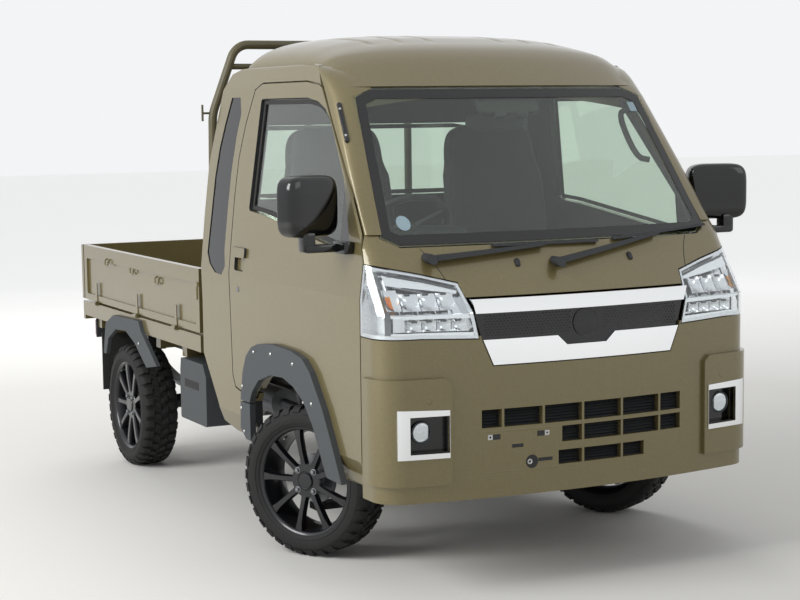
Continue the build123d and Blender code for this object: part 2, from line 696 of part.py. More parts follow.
save("tailgate", tailgate)

# headboard frame behind the cab: a bent pipe arch, a cross bar, two uprights and a low panel
guard_y = 70.0
pipe_r = 18.0
guard_path = [(-668, bed_floor_z - deck_step + fit), (-654, 1600), (-548, 1878), (548, 1878), (654, 1600), (668, bed_floor_z - deck_step + fit)]
guard_panel = box_between((-640, 640), (guard_y - 8, guard_y + 8), (bed_floor_z + 40, 1090))
with BuildPart() as guard_frame:
    with BuildLine(Plane.XZ.offset(-guard_y)) as line:
        FilletPolyline(*guard_path, radius=(170, 78, 78, 170))
    with BuildSketch(Plane((guard_path[0][0], guard_y, guard_path[0][1]), z_dir=(14, 0, 895))):
        RegularPolygon(pipe_r, 12)
    sweep(path=line.line)
    add(guard_panel)
    with BuildSketch(Plane.YZ.offset(-575)):
        with Locations((guard_y, 1790)):
            RegularPolygon(12, 12)
    extrude(amount=1150)
    with BuildSketch(Plane.XY.offset(1080)):
        with Locations((-230, guard_y), (230, guard_y)):
            RegularPolygon(16, 12)
    extrude(amount=710)
save("guard_frame", guard_frame)

# ------------------------------------------------------------------ chassis
cross_stations = (-1560.0, -300.0, 250.0, 800.0, 1560.0)
rail_path = [(-1620, 438), (-1240, 438), (-1080, frame_top_z), (1640, frame_top_z)]
rail_inner_x = frame_rail_x - frame_rail[0] / 2
rail_outer_x = frame_rail_x + frame_rail[0] / 2
engine_half = 235.0
engine_mounts = [box_between((engine_half + fit, rail_inner_x), (y - 30, y + 30), (490, 540)) for y in (-780, -470)]
spring_x = 430.0
spring_eyes = (524.0, 1564.0)
spring_eye_z = 440.0
spring_hangers = [box_between((rail_outer_x, spring_x + 30), (y - 16, y + 16), (spring_eye_z + 14 + fit, frame_top_z))
                  for y in (spring_eyes[0] + 16, spring_eyes[1] - 16)]
cab_mounts = [(-1500.0, 438.0, foot_floor_z - sheet), (-1030.0, frame_top_z, seat_floor_z - sheet),
              (-470.0, frame_top_z, seat_floor_z - sheet)]
with BuildPart() as ladder_frame:
    for side in (-1, 1):
        with BuildSketch(Plane.YZ.offset(side * frame_rail_x - frame_rail[0] / 2)):
            with BuildLine():
                Polyline(*rail_path, *[(y, z - frame_rail[1]) for y, z in reversed(rail_path)], close=True)
            make_face()
        extrude(amount=frame_rail[0])
    for y in cross_stations:
        low = 438 if y < -1300 else frame_top_z
        with BuildSketch(Plane.XZ.offset(-y)):
            with Locations((0, low - 48)):
                Rectangle(2 * frame_rail_x, 60)
        extrude(amount=25, both=True)
    for piece in engine_mounts + spring_hangers:
        add(piece)
        add(other_side(piece))
    for y, low, high in cab_mounts:
        with BuildSketch(Plane.XY.offset(low - 6)):
            with Locations((-frame_rail_x, y), (frame_rail_x, y)):
                Circle(24)
        extrude(amount=high - fit - low + 6)
save("ladder_frame", ladder_frame)

engine = box_between((-engine_half, engine_half), (-860, -380), (300, 640))
with BuildPart() as engine_block:
    add(engine)
save("engine_block", engine_block)

with BuildPart() as drive_line:
    with BuildSketch(Plane.XZ.offset(380 - fit)):
        with Locations((0, 380)):
            RegularPolygon(98, 20)
    with BuildSketch(Plane.XZ.offset(-60)):
        with Locations((0, 390)):
            RegularPolygon(60, 20)
    loft(ruled=True)
    with BuildSketch(Plane((0, 60, 390), z_dir=(0, rear_axle_y - 110 - 60, tyre_r - 390))):
        RegularPolygon(28, 16)
    extrude(amount=hypot(rear_axle_y - 118 - 60, 390 - tyre_r))
save("drive_line", drive_line)

drum_r = 112.0
drum_width = 60.0
hub_face_x = track_half + rim_pad
axle_r = 32.0
spring_mid_z = tyre_r + axle_r + 14
axle_pad = box_between((spring_x - 30, spring_x + 30), (rear_axle_y - 40, rear_axle_y + 40),
                       (tyre_r, spring_mid_z + 14 - fit))
with BuildPart() as rear_axle:
    with BuildSketch(Plane.YZ.offset(-(hub_face_x - running))) as tube:
        with Locations((rear_axle_y, tyre_r)):
            Circle(axle_r)
    extrude(amount=2 * (hub_face_x - running))
    with BuildSketch(Plane.YZ.offset(-80)):
        with Locations((rear_axle_y, tyre_r)):
            RegularPolygon(108, 24)
    extrude(amount=160)
    for side in (-1, 1):
        with BuildSketch(Plane.YZ.offset(side * (hub_face_x - 22))):
            with Locations((rear_axle_y, tyre_r)):
                RegularPolygon(drum_r, 32)
        extrude(amount=-side * drum_width)
    add(axle_pad)
    add(other_side(axle_pad))
save("rear_axle", rear_axle)

spring_eye = (spring_eyes[0], spring_eyes[1], spring_eye_z)
with BuildPart() as leaf_springs:
    for side in (-1, 1):
        with BuildSketch(Plane.YZ.offset(side * spring_x - 30)):
            with BuildLine():
                ThreePointArc((spring_eye[0], spring_eye[2]), (rear_axle_y, spring_mid_z + 14), (spring_eye[1], spring_eye[2]))
                Line((spring_eye[1], spring_eye[2]), (spring_eye[1], spring_eye[2] + 14))
                ThreePointArc((spring_eye[1], spring_eye[2] + 14), (rear_axle_y, spring_mid_z + 28), (spring_eye[0], spring_eye[2] + 14))
                Line((spring_eye[0], spring_eye[2] + 14), (spring_eye[0], spring_eye[2]))
            make_face()
        extrude(amount=60)
save("leaf_springs", leaf_springs)

# ------------------------------------------------------------------ wheels
steer = radians(rest_steer)
hub_out = track_half - kingpin_hub_x       # wheel centre plane, outboard of the steering axis


def front_hub(side):
    """Rest place and outward direction of a front wheel turned to the left."""
    outward = Vector(side * cos(steer), side * sin(steer), 0)
    pivot = Vector(side * kingpin_hub_x, front_axle_y, tyre_r)
    return pivot, outward


def rear_hub(side):
    return Vector(side * (track_half - hub_out), rear_axle_y, tyre_r), Vector(side, 0, 0)


# a wheel is made round +Z, its outer face up, then set on each hub
half_tyre = tyre_width / 2
wheel_sides = 40
bead_r = rim_r - 8
tyre_outer = [(-half_tyre, rim_r + 36), (-half_tyre + 3, tyre_r - 22), (-half_tyre + 24, tyre_r),
              (half_tyre - 24, tyre_r), (half_tyre - 3, tyre_r - 22), (half_tyre, rim_r + 36)]
tyre_bore = [(-half_tyre - 1, rim_r + 40), (-half_tyre + 5, rim_r + 12), (-half_tyre + 16, bead_r),
             (half_tyre - 16, bead_r), (half_tyre - 5, rim_r + 12), (half_tyre + 1, rim_r + 40)]
tyre_hollow = [(-half_tyre + 30, bead_r - 4), (-half_tyre + 20, rim_r + 20), (-half_tyre + 22, tyre_r - 20),
               (half_tyre - 22, tyre_r - 20), (half_tyre - 20, rim_r + 20), (half_tyre - 30, bead_r - 4)]
tyre_form = faceted_ring(tyre_outer, [tyre_bore, tyre_hollow], wheel_sides)

spoke_count = 9
rim_face = 62.0
hub_face_r = 66.0
barrel_r = bead_r - fit
barrel_outer = [(-half_tyre + 16, barrel_r), (half_tyre - 12, barrel_r)]
barrel_bore = [(-half_tyre + 14, barrel_r - 10), (-half_tyre + 40, barrel_r - 22), (half_tyre - 60, barrel_r - 22),
               (half_tyre - 26, barrel_r - 12), (half_tyre - 10, barrel_r - 9)]
barrel_form = faceted_ring(barrel_outer, [barrel_bore], wheel_sides)
with BuildPart() as rim_at_origin:
    add(barrel_form)
    with BuildSketch(Plane.XY.offset(rim_pad)):
        with PolarLocations(0, spoke_count, start_angle=10):
            Polygon((hub_face_r - 12, -21), (barrel_r - 8, -13), (barrel_r - 8, 13), (hub_face_r - 12, 21), align=None)
    extrude(amount=rim_face - rim_pad)
    with BuildSketch(Plane.XY.offset(rim_pad)):
        Circle(hub_face_r)
    extrude(amount=16)
    with BuildSketch(Plane.XY.offset(rim_pad + 16)):
        Circle(31)
    extrude(amount=12)
    with BuildSketch(Plane.XY.offset(rim_pad)):
        with PolarLocations(50, 4, start_angle=45):
            RegularPolygon(8, 8)
    extrude(amount=16, mode=Mode.SUBTRACT)
rim_form = rim_at_origin.part


def wheel_place(pivot, outward):
    return Plane(origin=pivot + outward * hub_out, x_dir=(0, 0, 1), z_dir=outward).location


wheels = {"front_right": front_hub(-1), "front_left": front_hub(1), "rear_right": rear_hub(-1), "rear_left": rear_hub(1)}
for name, (pivot, outward) in wheels.items():
    placed_tyre = wheel_place(pivot, outward) * tyre_form
    placed_rim = wheel_place(pivot, outward) * rim_form
    with BuildPart() as tyre:
        add(placed_tyre)
    save("tyre_" + name, tyre)
    with BuildPart() as rim:
        add(placed_rim)
    save("rim_" + name, rim)

# ------------------------------------------------------------------ front suspension
lean = tan(radians(kingpin_lean))


def kingpin_x(z):
    return kingpin_hub_x - (z - tyre_r) * lean


strut_r = 20.0
spring_r = 46.0
spring_low_z = 566.0
tower_z = kingpin_high_z - 8
tower_r = 56.0
stub_low_z = kingpin_low_z + 26
disc_r = 90.0


def knuckle_form(side):
    pivot, outward = front_hub(side)
    up = Vector(-side * lean, 0, 1)
    low = Vector(side * kingpin_x(stub_low_z), front_axle_y, stub_low_z)
    with BuildPart(mode=Mode.PRIVATE) as hub:
        with BuildSketch(Plane(origin=low, z_dir=up)):
            RegularPolygon(26, 16)
        extrude(amount=(tyre_r + 60 - stub_low_z) / cos(radians(kingpin_lean)))
        with BuildSketch(Plane(origin=pivot, z_dir=outward)):
            Circle(44)
        extrude(amount=hub_out + rim_pad - running)
        with BuildSketch(Plane(origin=pivot + outward * (hub_out - 10), z_dir=outward)):
            RegularPolygon(disc_r, 36)
        extrude(amount=12)
    return hub.part


def strut_form(side):
    up = Vector(-side * lean, 0, 1)
    low_z = tyre_r + 60 + fit
    low = Vector(side * kingpin_x(low_z), front_axle_y, low_z)
    perch = Vector(side * kingpin_x(spring_low_z), front_axle_y, spring_low_z)
    with BuildPart(mode=Mode.PRIVATE) as strut:
        with BuildSketch(Plane(origin=low, z_dir=up)):
            Circle(strut_r)
        extrude(amount=(tower_z - 4 - low_z) / cos(radians(kingpin_lean)))
        with BuildSketch(Plane(origin=perch, z_dir=up)):
            RegularPolygon(spring_r, 20)
        extrude(amount=92)
    return strut.part


arm_form = box_between((200, kingpin_x(kingpin_low_z) + 20), (front_axle_y - 30, front_axle_y + 30),
                       (kingpin_low_z - 12, kingpin_low_z + 12))
arm_riser = box_between((200, 250), (front_axle_y - 60, front_axle_y + 60), (kingpin_low_z - 12, 250))
beam = box_between((-372, 372), (front_axle_y - 60, front_axle_y + 60), (250, 290))
beam_post = box_between((frame_rail_x - 30, frame_rail_x + 30), (front_axle_y - 40, front_axle_y + 40), (290, frame_top_z - frame_rail[1]))
with BuildPart() as front_suspension:
    add(beam)
    for piece in (arm_form, arm_riser, beam_post):
        add(piece)
        add(other_side(piece))
    with BuildSketch(Plane.XY.offset(tower_z - 14)):
        with Locations((kingpin_x(tower_z), front_axle_y), (-kingpin_x(tower_z), front_axle_y)):
            Circle(tower_r)
    extrude(amount=seat_floor_z - sheet - tower_z + 14)
    for side in (-1, 1):
        with BuildSketch(Plane(origin=(side * kingpin_x(tower_z - 40), front_axle_y, tower_z - 40),
                               z_dir=(-side * lean, 0, 1))):
            Circle(strut_r + running_fit)
        extrude(amount=46, mode=Mode.SUBTRACT)
save("front_suspension", front_suspension)

for name, side in (("right", -1), ("left", 1)):
    hub_part = knuckle_form(side)
    strut_part = strut_form(side)
    with BuildPart() as knuckle:
        add(hub_part)
    save("knuckle_" + name, knuckle)
    with BuildPart() as strut:
        add(strut_part)
    save("strut_" + name, strut)

# ------------------------------------------------------------------ cab interior
seat_x = 345.0
seat_width = 440.0
wheel_at = Vector(-370.0, -1050.0, 1172.0)
wheel_tilt = 48.0
wheel_r = 185.0
with BuildPart() as seats:
    for x in (-seat_x, seat_x):
        with BuildSketch(Plane.YZ.offset(x - seat_width / 2)) as cushion:
            with BuildLine():
                Polyline((-1000, seat_floor_z + fit), (-1000, 850), (-960, 885), (-560, 868), (-545, 900), (-430, 1560), (-345, 1560),
                         (-430, 1040), (-440, seat_floor_z + fit), close=True)
            make_face()
            fillet(cushion.vertices(), 14)
        extrude(amount=seat_width)
save("seats", seats)

with BuildPart() as dashboard:
    with BuildSketch(Plane.YZ.offset(-640)) as board:
        with BuildLine():
            Polyline((-1600, 700), (-1590, 1010), (-1500, 1135), (-1380, 1130), (-1290, 1040), (-1300, 800), (-1420, 700), close=True)
        make_face()
        fillet(board.vertices(), 16)
    extrude(amount=1280)
dashboard_form = dashboard.part & bulkhead_back
steering_axis = Vector(0, sin(radians(wheel_tilt)), cos(radians(wheel_tilt)))
with BuildPart() as dashboard:
    add(dashboard_form)
    with BuildSketch(Plane(origin=wheel_at - steering_axis * (34 + fit), z_dir=-steering_axis)):
        Circle(34)
    extrude(amount=340)
save("dashboard", dashboard)

grip_r = 14.0
grip_outer = [(-grip_r, wheel_r - grip_r), (-7, wheel_r - 2), (7, wheel_r - 2), (grip_r, wheel_r - grip_r)]
grip_bore = [(-grip_r, wheel_r - grip_r - 0.5), (-7, wheel_r - 26), (7, wheel_r - 26), (grip_r, wheel_r - grip_r - 0.5)]
straight_turn = 16 * rest_steer
grip_ring = faceted_ring(grip_outer, [grip_bore], 36)
with BuildPart() as wheel_at_origin:
    add(grip_ring)
    with BuildSketch(Plane.XY.offset(-34)):
        Circle(58)
    extrude(amount=30)
    with BuildSketch(Plane.XY.offset(-18)):
        with PolarLocations(46, 3, start_angle=90 + straight_turn):
            Rectangle(wheel_r - 22 - 46, 34, align=(Align.MIN, Align.CENTER))
    extrude(amount=14)
wheel_form = Plane(origin=wheel_at, x_dir=(1, 0, 0), z_dir=steering_axis).location * wheel_at_origin.part
with BuildPart() as steering_wheel:
    add(wheel_form)
save("steering_wheel", steering_wheel)

# ------------------------------------------------------------------ wipers, lamps at the tail, tank, exhaust, side box
side_box_edge = [(92, 314), (92, 520), (128, frame_top_z - fit), (390, frame_top_z - fit), (401, 520), (401, 314)]
side_box_form = prism_x(side_box_edge, 0, 10, -702, -470)
with BuildPart() as side_box:
    add(side_box_form)
save("side_box", side_box)

with BuildPart() as fuel_tank:
    with BuildSketch(Plane.XY.offset(frame_top_z - fit)):
        with Locations((580, 440)):
            RectangleRounded(210, 560, 40)
    extrude(amount=-210)
save("fuel_tank", fuel_tank)

pipe_hangers = [box_between((-221, -209), (y - 10, y + 10), (low, 494 - fit)) for y, low in ((250, 340), (800, 380))]
with BuildPart() as exhaust_pipe:
    with BuildSketch(Plane.XZ.offset(-420)):
        with Locations((-215, 330)):
            Circle(62)
    extrude(amount=-460)
    with BuildSketch(Plane.XZ.offset(-100)):
        with Locations((-215, 330)):
            Circle(19)
    extrude(amount=-330)
    for piece in pipe_hangers:
        add(piece)
save("exhaust_pipe", exhaust_pipe)

wiper_blades = [[(-278, 1147), (-278, 1155), (135, 1154), (135, 1146)],
                [(201, 1150), (201, 1158), (646, 1186), (646, 1178)]]
wiper_arms = [[(-523, 1108), (-523, 1126), (-90, 1152), (-90, 1144)],
              [(-66, 1082), (-66, 1100), (400, 1170), (400, 1162)]]
wiper_pivots = [(-523, 1117), (-66, 1091)]
over_glass = screen_layer(-12) - screen_layer(-fit)
over_blade = screen_layer(-24) - screen_layer(-9)
blade_pieces = [over_glass & prism_y(edge, 0, 0, -1800, -1050) for edge in wiper_blades]
arm_pieces = [over_blade & prism_y(edge, 0, 0, -1800, -1050) for edge in wiper_arms]
cowl_layer = leaning_prism(hood_low, screen_low, -28) - leaning_prism(hood_low, screen_low, -fit)
cowl_clear = leaning_prism(hood_low, screen_low, -fit)
with BuildPart() as pivots:
    with BuildSketch(Plane.XZ.offset(1400)):
        with Locations(*wiper_pivots):
            Circle(17)
    extrude(amount=300)
pivot_pieces = pivots.part & cowl_layer
with BuildPart() as wipers:
    for piece in blade_pieces + arm_pieces:
        add(piece - cowl_clear)
    add(pivot_pieces)
save("wipers", wipers)

radiator_low_z = bumper_low_z + 13
radiator_core = box_between((-290, 290), (-1615 - fit, -1585 - fit), (radiator_low_z, foot_floor_z - sheet - 8))
with BuildPart() as radiator:
    add(radiator_core)
save("radiator", radiator)

lamp_box = box_between((-690, -500), (bed_rear_y - 20, bed_rear_y + 24), (520, rail_low_z - 20 - fit))
with BuildPart() as tail_lamps:
    add(lamp_box)
    add(other_side(lamp_box))
save("tail_lamps", tail_lamps)
with BuildPart() as mudflaps:
    add(mud_flap)
    add(other_side(mud_flap))
save("mudflaps", mudflaps)
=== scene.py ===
# %% [markdown]
# # A small cab-over pickup truck
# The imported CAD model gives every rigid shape. This file dresses it: it gives each surface its real
# material, adds the small pieces that a maker adds last (tread, bolts, trim, stitching), and sets up a
# plain studio. Everything is in metres, in the same frame as the CAD: the ground is z = 0, the nose
# looks along -Y and +X is the vehicle's left.

# %% Load the frame
import bpy, bmesh, json, math
from mathutils import Vector, Matrix


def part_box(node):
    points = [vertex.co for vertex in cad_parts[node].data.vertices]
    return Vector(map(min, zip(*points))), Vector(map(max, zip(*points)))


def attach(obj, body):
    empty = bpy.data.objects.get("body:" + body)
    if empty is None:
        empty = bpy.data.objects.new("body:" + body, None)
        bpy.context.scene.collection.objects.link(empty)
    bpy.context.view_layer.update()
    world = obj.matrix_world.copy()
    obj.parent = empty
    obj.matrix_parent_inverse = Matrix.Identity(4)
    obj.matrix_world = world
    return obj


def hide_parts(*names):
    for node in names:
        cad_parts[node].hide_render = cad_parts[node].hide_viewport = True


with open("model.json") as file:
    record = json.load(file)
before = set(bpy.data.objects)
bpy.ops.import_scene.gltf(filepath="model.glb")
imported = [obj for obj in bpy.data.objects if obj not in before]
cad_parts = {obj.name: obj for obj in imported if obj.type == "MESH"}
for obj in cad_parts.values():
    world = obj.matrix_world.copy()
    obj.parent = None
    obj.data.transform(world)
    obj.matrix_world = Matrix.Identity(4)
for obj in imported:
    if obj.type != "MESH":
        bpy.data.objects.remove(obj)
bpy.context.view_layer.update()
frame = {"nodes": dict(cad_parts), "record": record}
cad = frame["nodes"]

# %% [markdown]
# ## The camera
# A long lens far away keeps the truck's proportions calm. The place and turn are written as numbers, so
# the view never depends on what is modelled later.

# %% Place the camera
yaw, pitch, roll = math.radians(26.722), math.radians(6.088), math.radians(-0.6836)
forward = Vector((math.sin(yaw) * math.cos(pitch), math.cos(yaw) * math.cos(pitch), -math.sin(pitch)))
right = Vector((math.cos(yaw), -math.sin(yaw), 0))
up = right.cross(forward)
camera_right = right * math.cos(roll) + up * math.sin(roll)
camera_up = -right * math.sin(roll) + up * math.cos(roll)
camera_data = bpy.data.cameras.new("camera")
camera_data.sensor_width = 36
camera_data.lens = 1776.18 / 800 * 36
camera_data.clip_end = 100
camera = bpy.data.objects.new("camera", camera_data)
camera.matrix_world = Matrix.Translation((-3.2356, -6.7237, 1.6045)) @ Matrix(
    (camera_right, camera_up, -forward)).transposed().to_4x4()
bpy.context.scene.collection.objects.link(camera)
bpy.context.scene.camera = camera
print("camera lens", round(camera_data.lens, 2), "mm")

# %% [markdown]
# ## Helpers for materials
# Colours are easiest to choose as the hex values of a screen, but a renderer adds light in a linear
# scale, so one function turns the first into the second. The others add a node with its settings and its
# links in one line, a pattern whose cells have a size in millimetres, a mix of two tones and a bump, which
# keeps each material as short as its description.

# %% Helpers for materials
def linear(hex_colour):
    """sRGB hex to linear red, green, blue and an alpha of 1."""
    values = [int(hex_colour[i:i + 2], 16) / 255 for i in (1, 3, 5)]
    return tuple(v / 12.92 if v <= 0.04045 else ((v + 0.055) / 1.055) ** 2.4 for v in values) + (1.0,)


def add_node(material, kind, sockets=None, **settings):
    """Add one node. A socket's value is a number, a colour, or (node, output) for a link."""
    node = material.node_tree.nodes.new(kind)
    for key, value in settings.items():
        setattr(node, key, value)
    for key, value in (sockets or {}).items():
        if isinstance(value, tuple) and len(value) == 2 and hasattr(value[0], "outputs"):
            material.node_tree.links.new(value[0].outputs[value[1]], node.inputs[key])
        else:
            node.inputs[key].default_value = value
    return node


def new_material(name, sockets):
    """A material whose shader has these fixed values. Returns it, its shader and its place in space."""
    material = bpy.data.materials.new(name)
    material.use_nodes = True
    shader = material.node_tree.nodes["Principled BSDF"]
    for key, value in sockets.items():
        shader.inputs[key].default_value = value
    place = add_node(material, "ShaderNodeTexCoord")
    return material, shader, place


def size_mm(mm):
    """The scale that makes one cell of a pattern this many millimetres across."""
    return 1000.0 / mm


def join(material, node, output, shader, socket):
    material.node_tree.links.new(node.outputs[output], shader.inputs[socket])


def add_pattern(material, place, kind, cell_mm, **sockets):
    """A Noise or Voronoi pattern that stays on the object, with cells of this size."""
    return add_node(material, "ShaderNodeTex" + kind, {
        "Vector": (place, "Object"), "Scale": size_mm(cell_mm), **sockets})


def tint(material, shader, source, tone, other):
    """Colour the shader with a mix of two hex tones, led by source, a (node, output)."""
    mix = add_node(material, "ShaderNodeMix", {0: source, 6: linear(tone), 7: linear(other)},
                   data_type="RGBA")
    join(material, mix, 2, shader, "Base Color")


def raise_skin(material, shader, source, strength, distance, socket="Normal"):
    """Let source, a (node, output), raise the surface by this distance in metres."""
    bump = add_node(material, "ShaderNodeBump", {
        "Height": source, "Strength": strength, "Distance": distance})
    join(material, bump, 0, shader, socket)


print("helpers ready")

# %% [markdown]
# ## Body paint
# The body is pressed steel with a base coat of metallic khaki and a clear coat over it. Flakes of
# aluminium lie in the base coat, so the colour wavers a little from grain to grain, and the clear coat
# has a very shallow waviness called orange peel. Real flakes are about 0.05 mm, far too fine to show,
# so they are drawn at 1.4 mm.

# %% Paints
def metallic_paint(name, dark, pale, peel=0.06):
    material, shader, place = new_material(name, {
        "Metallic": 0.35, "Roughness": 0.4, "Coat Weight": 0.8, "Coat Roughness": 0.04})
    flakes = add_pattern(material, place, "Voronoi", 1.4)
    tint(material, shader, (flakes, "Color"), dark, pale)
    wave = add_pattern(material, place, "Noise", 9)
    raise_skin(material, shader, (wave, 0), peel, 0.0004, "Coat Normal")
    return material


def baked_enamel(name, tone, dust, rough=0.42):
    """Plain baked enamel, with road dust gathered in soft patches about 120 mm across."""
    material, shader, place = new_material(name, {"Roughness": rough})
    patches = add_pattern(material, place, "Noise", 120, Detail=8.0, Roughness=0.65)
    ramp = add_node(material, "ShaderNodeMapRange", {
        "Value": (patches, 0), "From Min": 0.48, "From Max": 0.75, "To Min": 0.0, "To Max": 0.5})
    tint(material, shader, (ramp, 0), tone, dust)
    raise_skin(material, shader, (add_pattern(material, place, "Noise", 2.2), 0), 0.12, 0.0004)
    return material


body_paint = metallic_paint("khaki_metallic_paint", "#635938", "#7C714A")
chassis_enamel = baked_enamel("black_chassis_enamel", "#1A1B1D", "#5B5348")
guard_paint = baked_enamel("dark_olive_powder_coat", "#575139", "#4A4739", 0.5)
sticker_paper = baked_enamel("pale_blue_sticker", "#93A9B2", "#A9BBC2")
print("paints:", body_paint.name, chassis_enamel.name, guard_paint.name)

# %% [markdown]
# ## Glass and lenses
# Windows are float glass with a little green in it; lamp lenses are clear polycarbonate, which bends
# light more. Glass shuts its own shadow out of a path tracer, so a shadow ray is let through: then the
# cabin is lit through its windows as a real one is.

# %% Glass and lenses
def clear_pane(name, tone, ior, shade=0.12):
    material, shader, place = new_material(name, {
        "Base Color": linear(tone), "Transmission Weight": 1.0, "Roughness": 0.0, "IOR": ior})
    rays = add_node(material, "ShaderNodeLightPath")
    hold = add_node(material, "ShaderNodeMapRange", {"Value": (rays, "Is Shadow Ray"), "To Min": 1.0,
                                                     "To Max": shade})
    join(material, hold, 0, shader, "Alpha")
    return material


window_glass = clear_pane("green_float_glass", "#DCE8DD", 1.5)
dark_glass = clear_pane("dark_privacy_glass", "#3A3F41", 1.5)
clear_lens = clear_pane("clear_polycarbonate", "#F4F7F8", 1.58)
amber_lens = clear_pane("amber_acrylic", "#FFB04A", 1.49)
red_lens = clear_pane("red_acrylic", "#B3121A", 1.49)
print("glass:", window_glass.name, clear_lens.name, amber_lens.name, red_lens.name)

# %% [markdown]
# ## Plastics and rubber
# The flares, mirrors and dashboard are moulded. The mould's own surface shows on them: a polished mould
# gives gloss black ABS, an etched one gives the leather-like grain of polypropylene. A tyre is carbon-black
# rubber, dull and a little grey where it has scuffed.

# %% Plastics and rubber
def grained_plastic(name, tone, grain_mm, rough=0.6, depth=0.35):
    material, shader, place = new_material(name, {"Base Color": linear(tone), "Roughness": rough})
    grain = add_pattern(material, place, "Voronoi", grain_mm)
    raise_skin(material, shader, (grain, "Distance"), depth, 0.0006)
    return material


def polished_plastic(name, tone):
    material, shader, place = new_material(name, {
        "Base Color": linear(tone), "Roughness": 0.12, "Coat Weight": 0.2, "Coat Roughness": 0.04})
    raise_skin(material, shader, (add_pattern(material, place, "Noise", 25), 0), 0.05, 0.0004)
    return material


def black_rubber(name, tone, scuff, mark_mm=14):
    material, shader, place = new_material(name, {"Roughness": 0.78})
    marks = add_pattern(material, place, "Noise", mark_mm, Detail=6.0)
    tint(material, shader, (marks, 0), tone, scuff)
    raise_skin(material, shader, (add_pattern(material, place, "Noise", 1.8), 0), 0.25, 0.0005)
    return material


flare_plastic = grained_plastic("grained_polypropylene", "#3E4245", 1.6)
cabin_plastic = grained_plastic("grained_cabin_plastic", "#1F2123", 1.2, 0.6, 0.08)
black_gloss = polished_plastic("gloss_black_abs", "#070809")
tyre_rubber = black_rubber("tyre_rubber", "#0C0C0C", "#191817")
flap_rubber = black_rubber("moulded_rubber", "#1B1B1C", "#2D2C2A", 30)
print("plastics:", flare_plastic.name, cabin_plastic.name, black_gloss.name, tyre_rubber.name)

# %% [markdown]
# ## Metals
# Chromed trim is a mirror of metal on smooth plastic. The wheels are cast aluminium under satin black
# lacquer. Below the floor the steel is bare or blackened, and the engine is sand-cast aluminium, whose
# skin keeps the grains of the sand at about 0.6 mm, drawn here at 2 mm.

# %% Metals
def smooth_metal(name, tone, rough, streak_mm=0.0):
    material, shader, place = new_material(name, {"Base Color": linear(tone), "Metallic": 1.0,
                                                  "Roughness": rough})
    if streak_mm:
        cloud = add_pattern(material, place, "Noise", streak_mm, Detail=6.0)
        spread = add_node(material, "ShaderNodeMapRange", {
            "Value": (cloud, 0), "To Min": rough - 0.12, "To Max": rough + 0.18})
        join(material, spread, 0, shader, "Roughness")
    return material


def lacquered_alloy(name, tone):
    material, shader, place = new_material(name, {
        "Base Color": linear(tone), "Metallic": 0.35, "Roughness": 0.3, "Coat Weight": 0.5,
        "Coat Roughness": 0.12})
    raise_skin(material, shader, (add_pattern(material, place, "Noise", 3), 0), 0.1, 0.0003)
    return material


def sand_cast(name, tone):
    material, shader, place = new_material(name, {"Base Color": linear(tone), "Metallic": 0.85,
                                                  "Roughness": 0.55})
    raise_skin(material, shader, (add_pattern(material, place, "Noise", 2), 0), 0.5, 0.0008)
    return material


chromed_trim = smooth_metal("chromed_plastic", "#F2F4F5", 0.05)
lamp_reflector = smooth_metal("vapour_aluminium", "#E2E4E6", 0.12)
mirror_silver = smooth_metal("silvered_mirror", "#E8EAEA", 0.02)
bare_steel = smooth_metal("bare_steel", "#85878A", 0.4, 35)
zinc_bolt = smooth_metal("zinc_plated_bolt", "#B9BBB8", 0.3, 8)
wheel_black = lacquered_alloy("satin_black_alloy", "#15161A")
cast_engine = sand_cast("sand_cast_aluminium", "#8B8D8E")
print("metals:", chromed_trim.name, bare_steel.name, wheel_black.name, cast_engine.name)

# %% [markdown]
# ## Cloth
# The seats are covered in a hard-wearing flat weave. Real threads are about 0.8 mm apart; they are drawn
# 3 mm apart so that the weave shows at all from outside the cabin.

# %% Cloth
def woven_cloth(name, tone, pale, thread_mm=3.0):
    material, shader, place = new_material(name, {"Roughness": 0.85, "Sheen Weight": 0.25,
                                                  "Sheen Roughness": 0.4})
    warp, weft = [add_node(material, "ShaderNodeTexWave", {
        "Vector": (place, "Object"), "Scale": size_mm(thread_mm) / 20, "Distortion": 0.6},
        bands_direction=axis) for axis in ("X", "Z")]
    cross = add_node(material, "ShaderNodeMath", {0: (warp, 1), 1: (weft, 1)}, operation="MULTIPLY")
    tint(material, shader, (cross, 0), tone, pale)
    raise_skin(material, shader, (cross, 0), 0.4, 0.0008)
    return material


seat_cloth = woven_cloth("woven_seat_cloth", "#232427", "#36373B")
roof_lining = woven_cloth("knitted_roof_lining", "#8E8C84", "#A3A198", 4.0)
print("cloth:", seat_cloth.name, roof_lining.name)

# %% [markdown]
# ## Dress the CAD pieces
# The rigid CAD pieces keep their shape and only get their finish. Their curved faces arrive as small flat
# facets, so faces that meet at less than 30 degrees are shaded as one smooth surface.

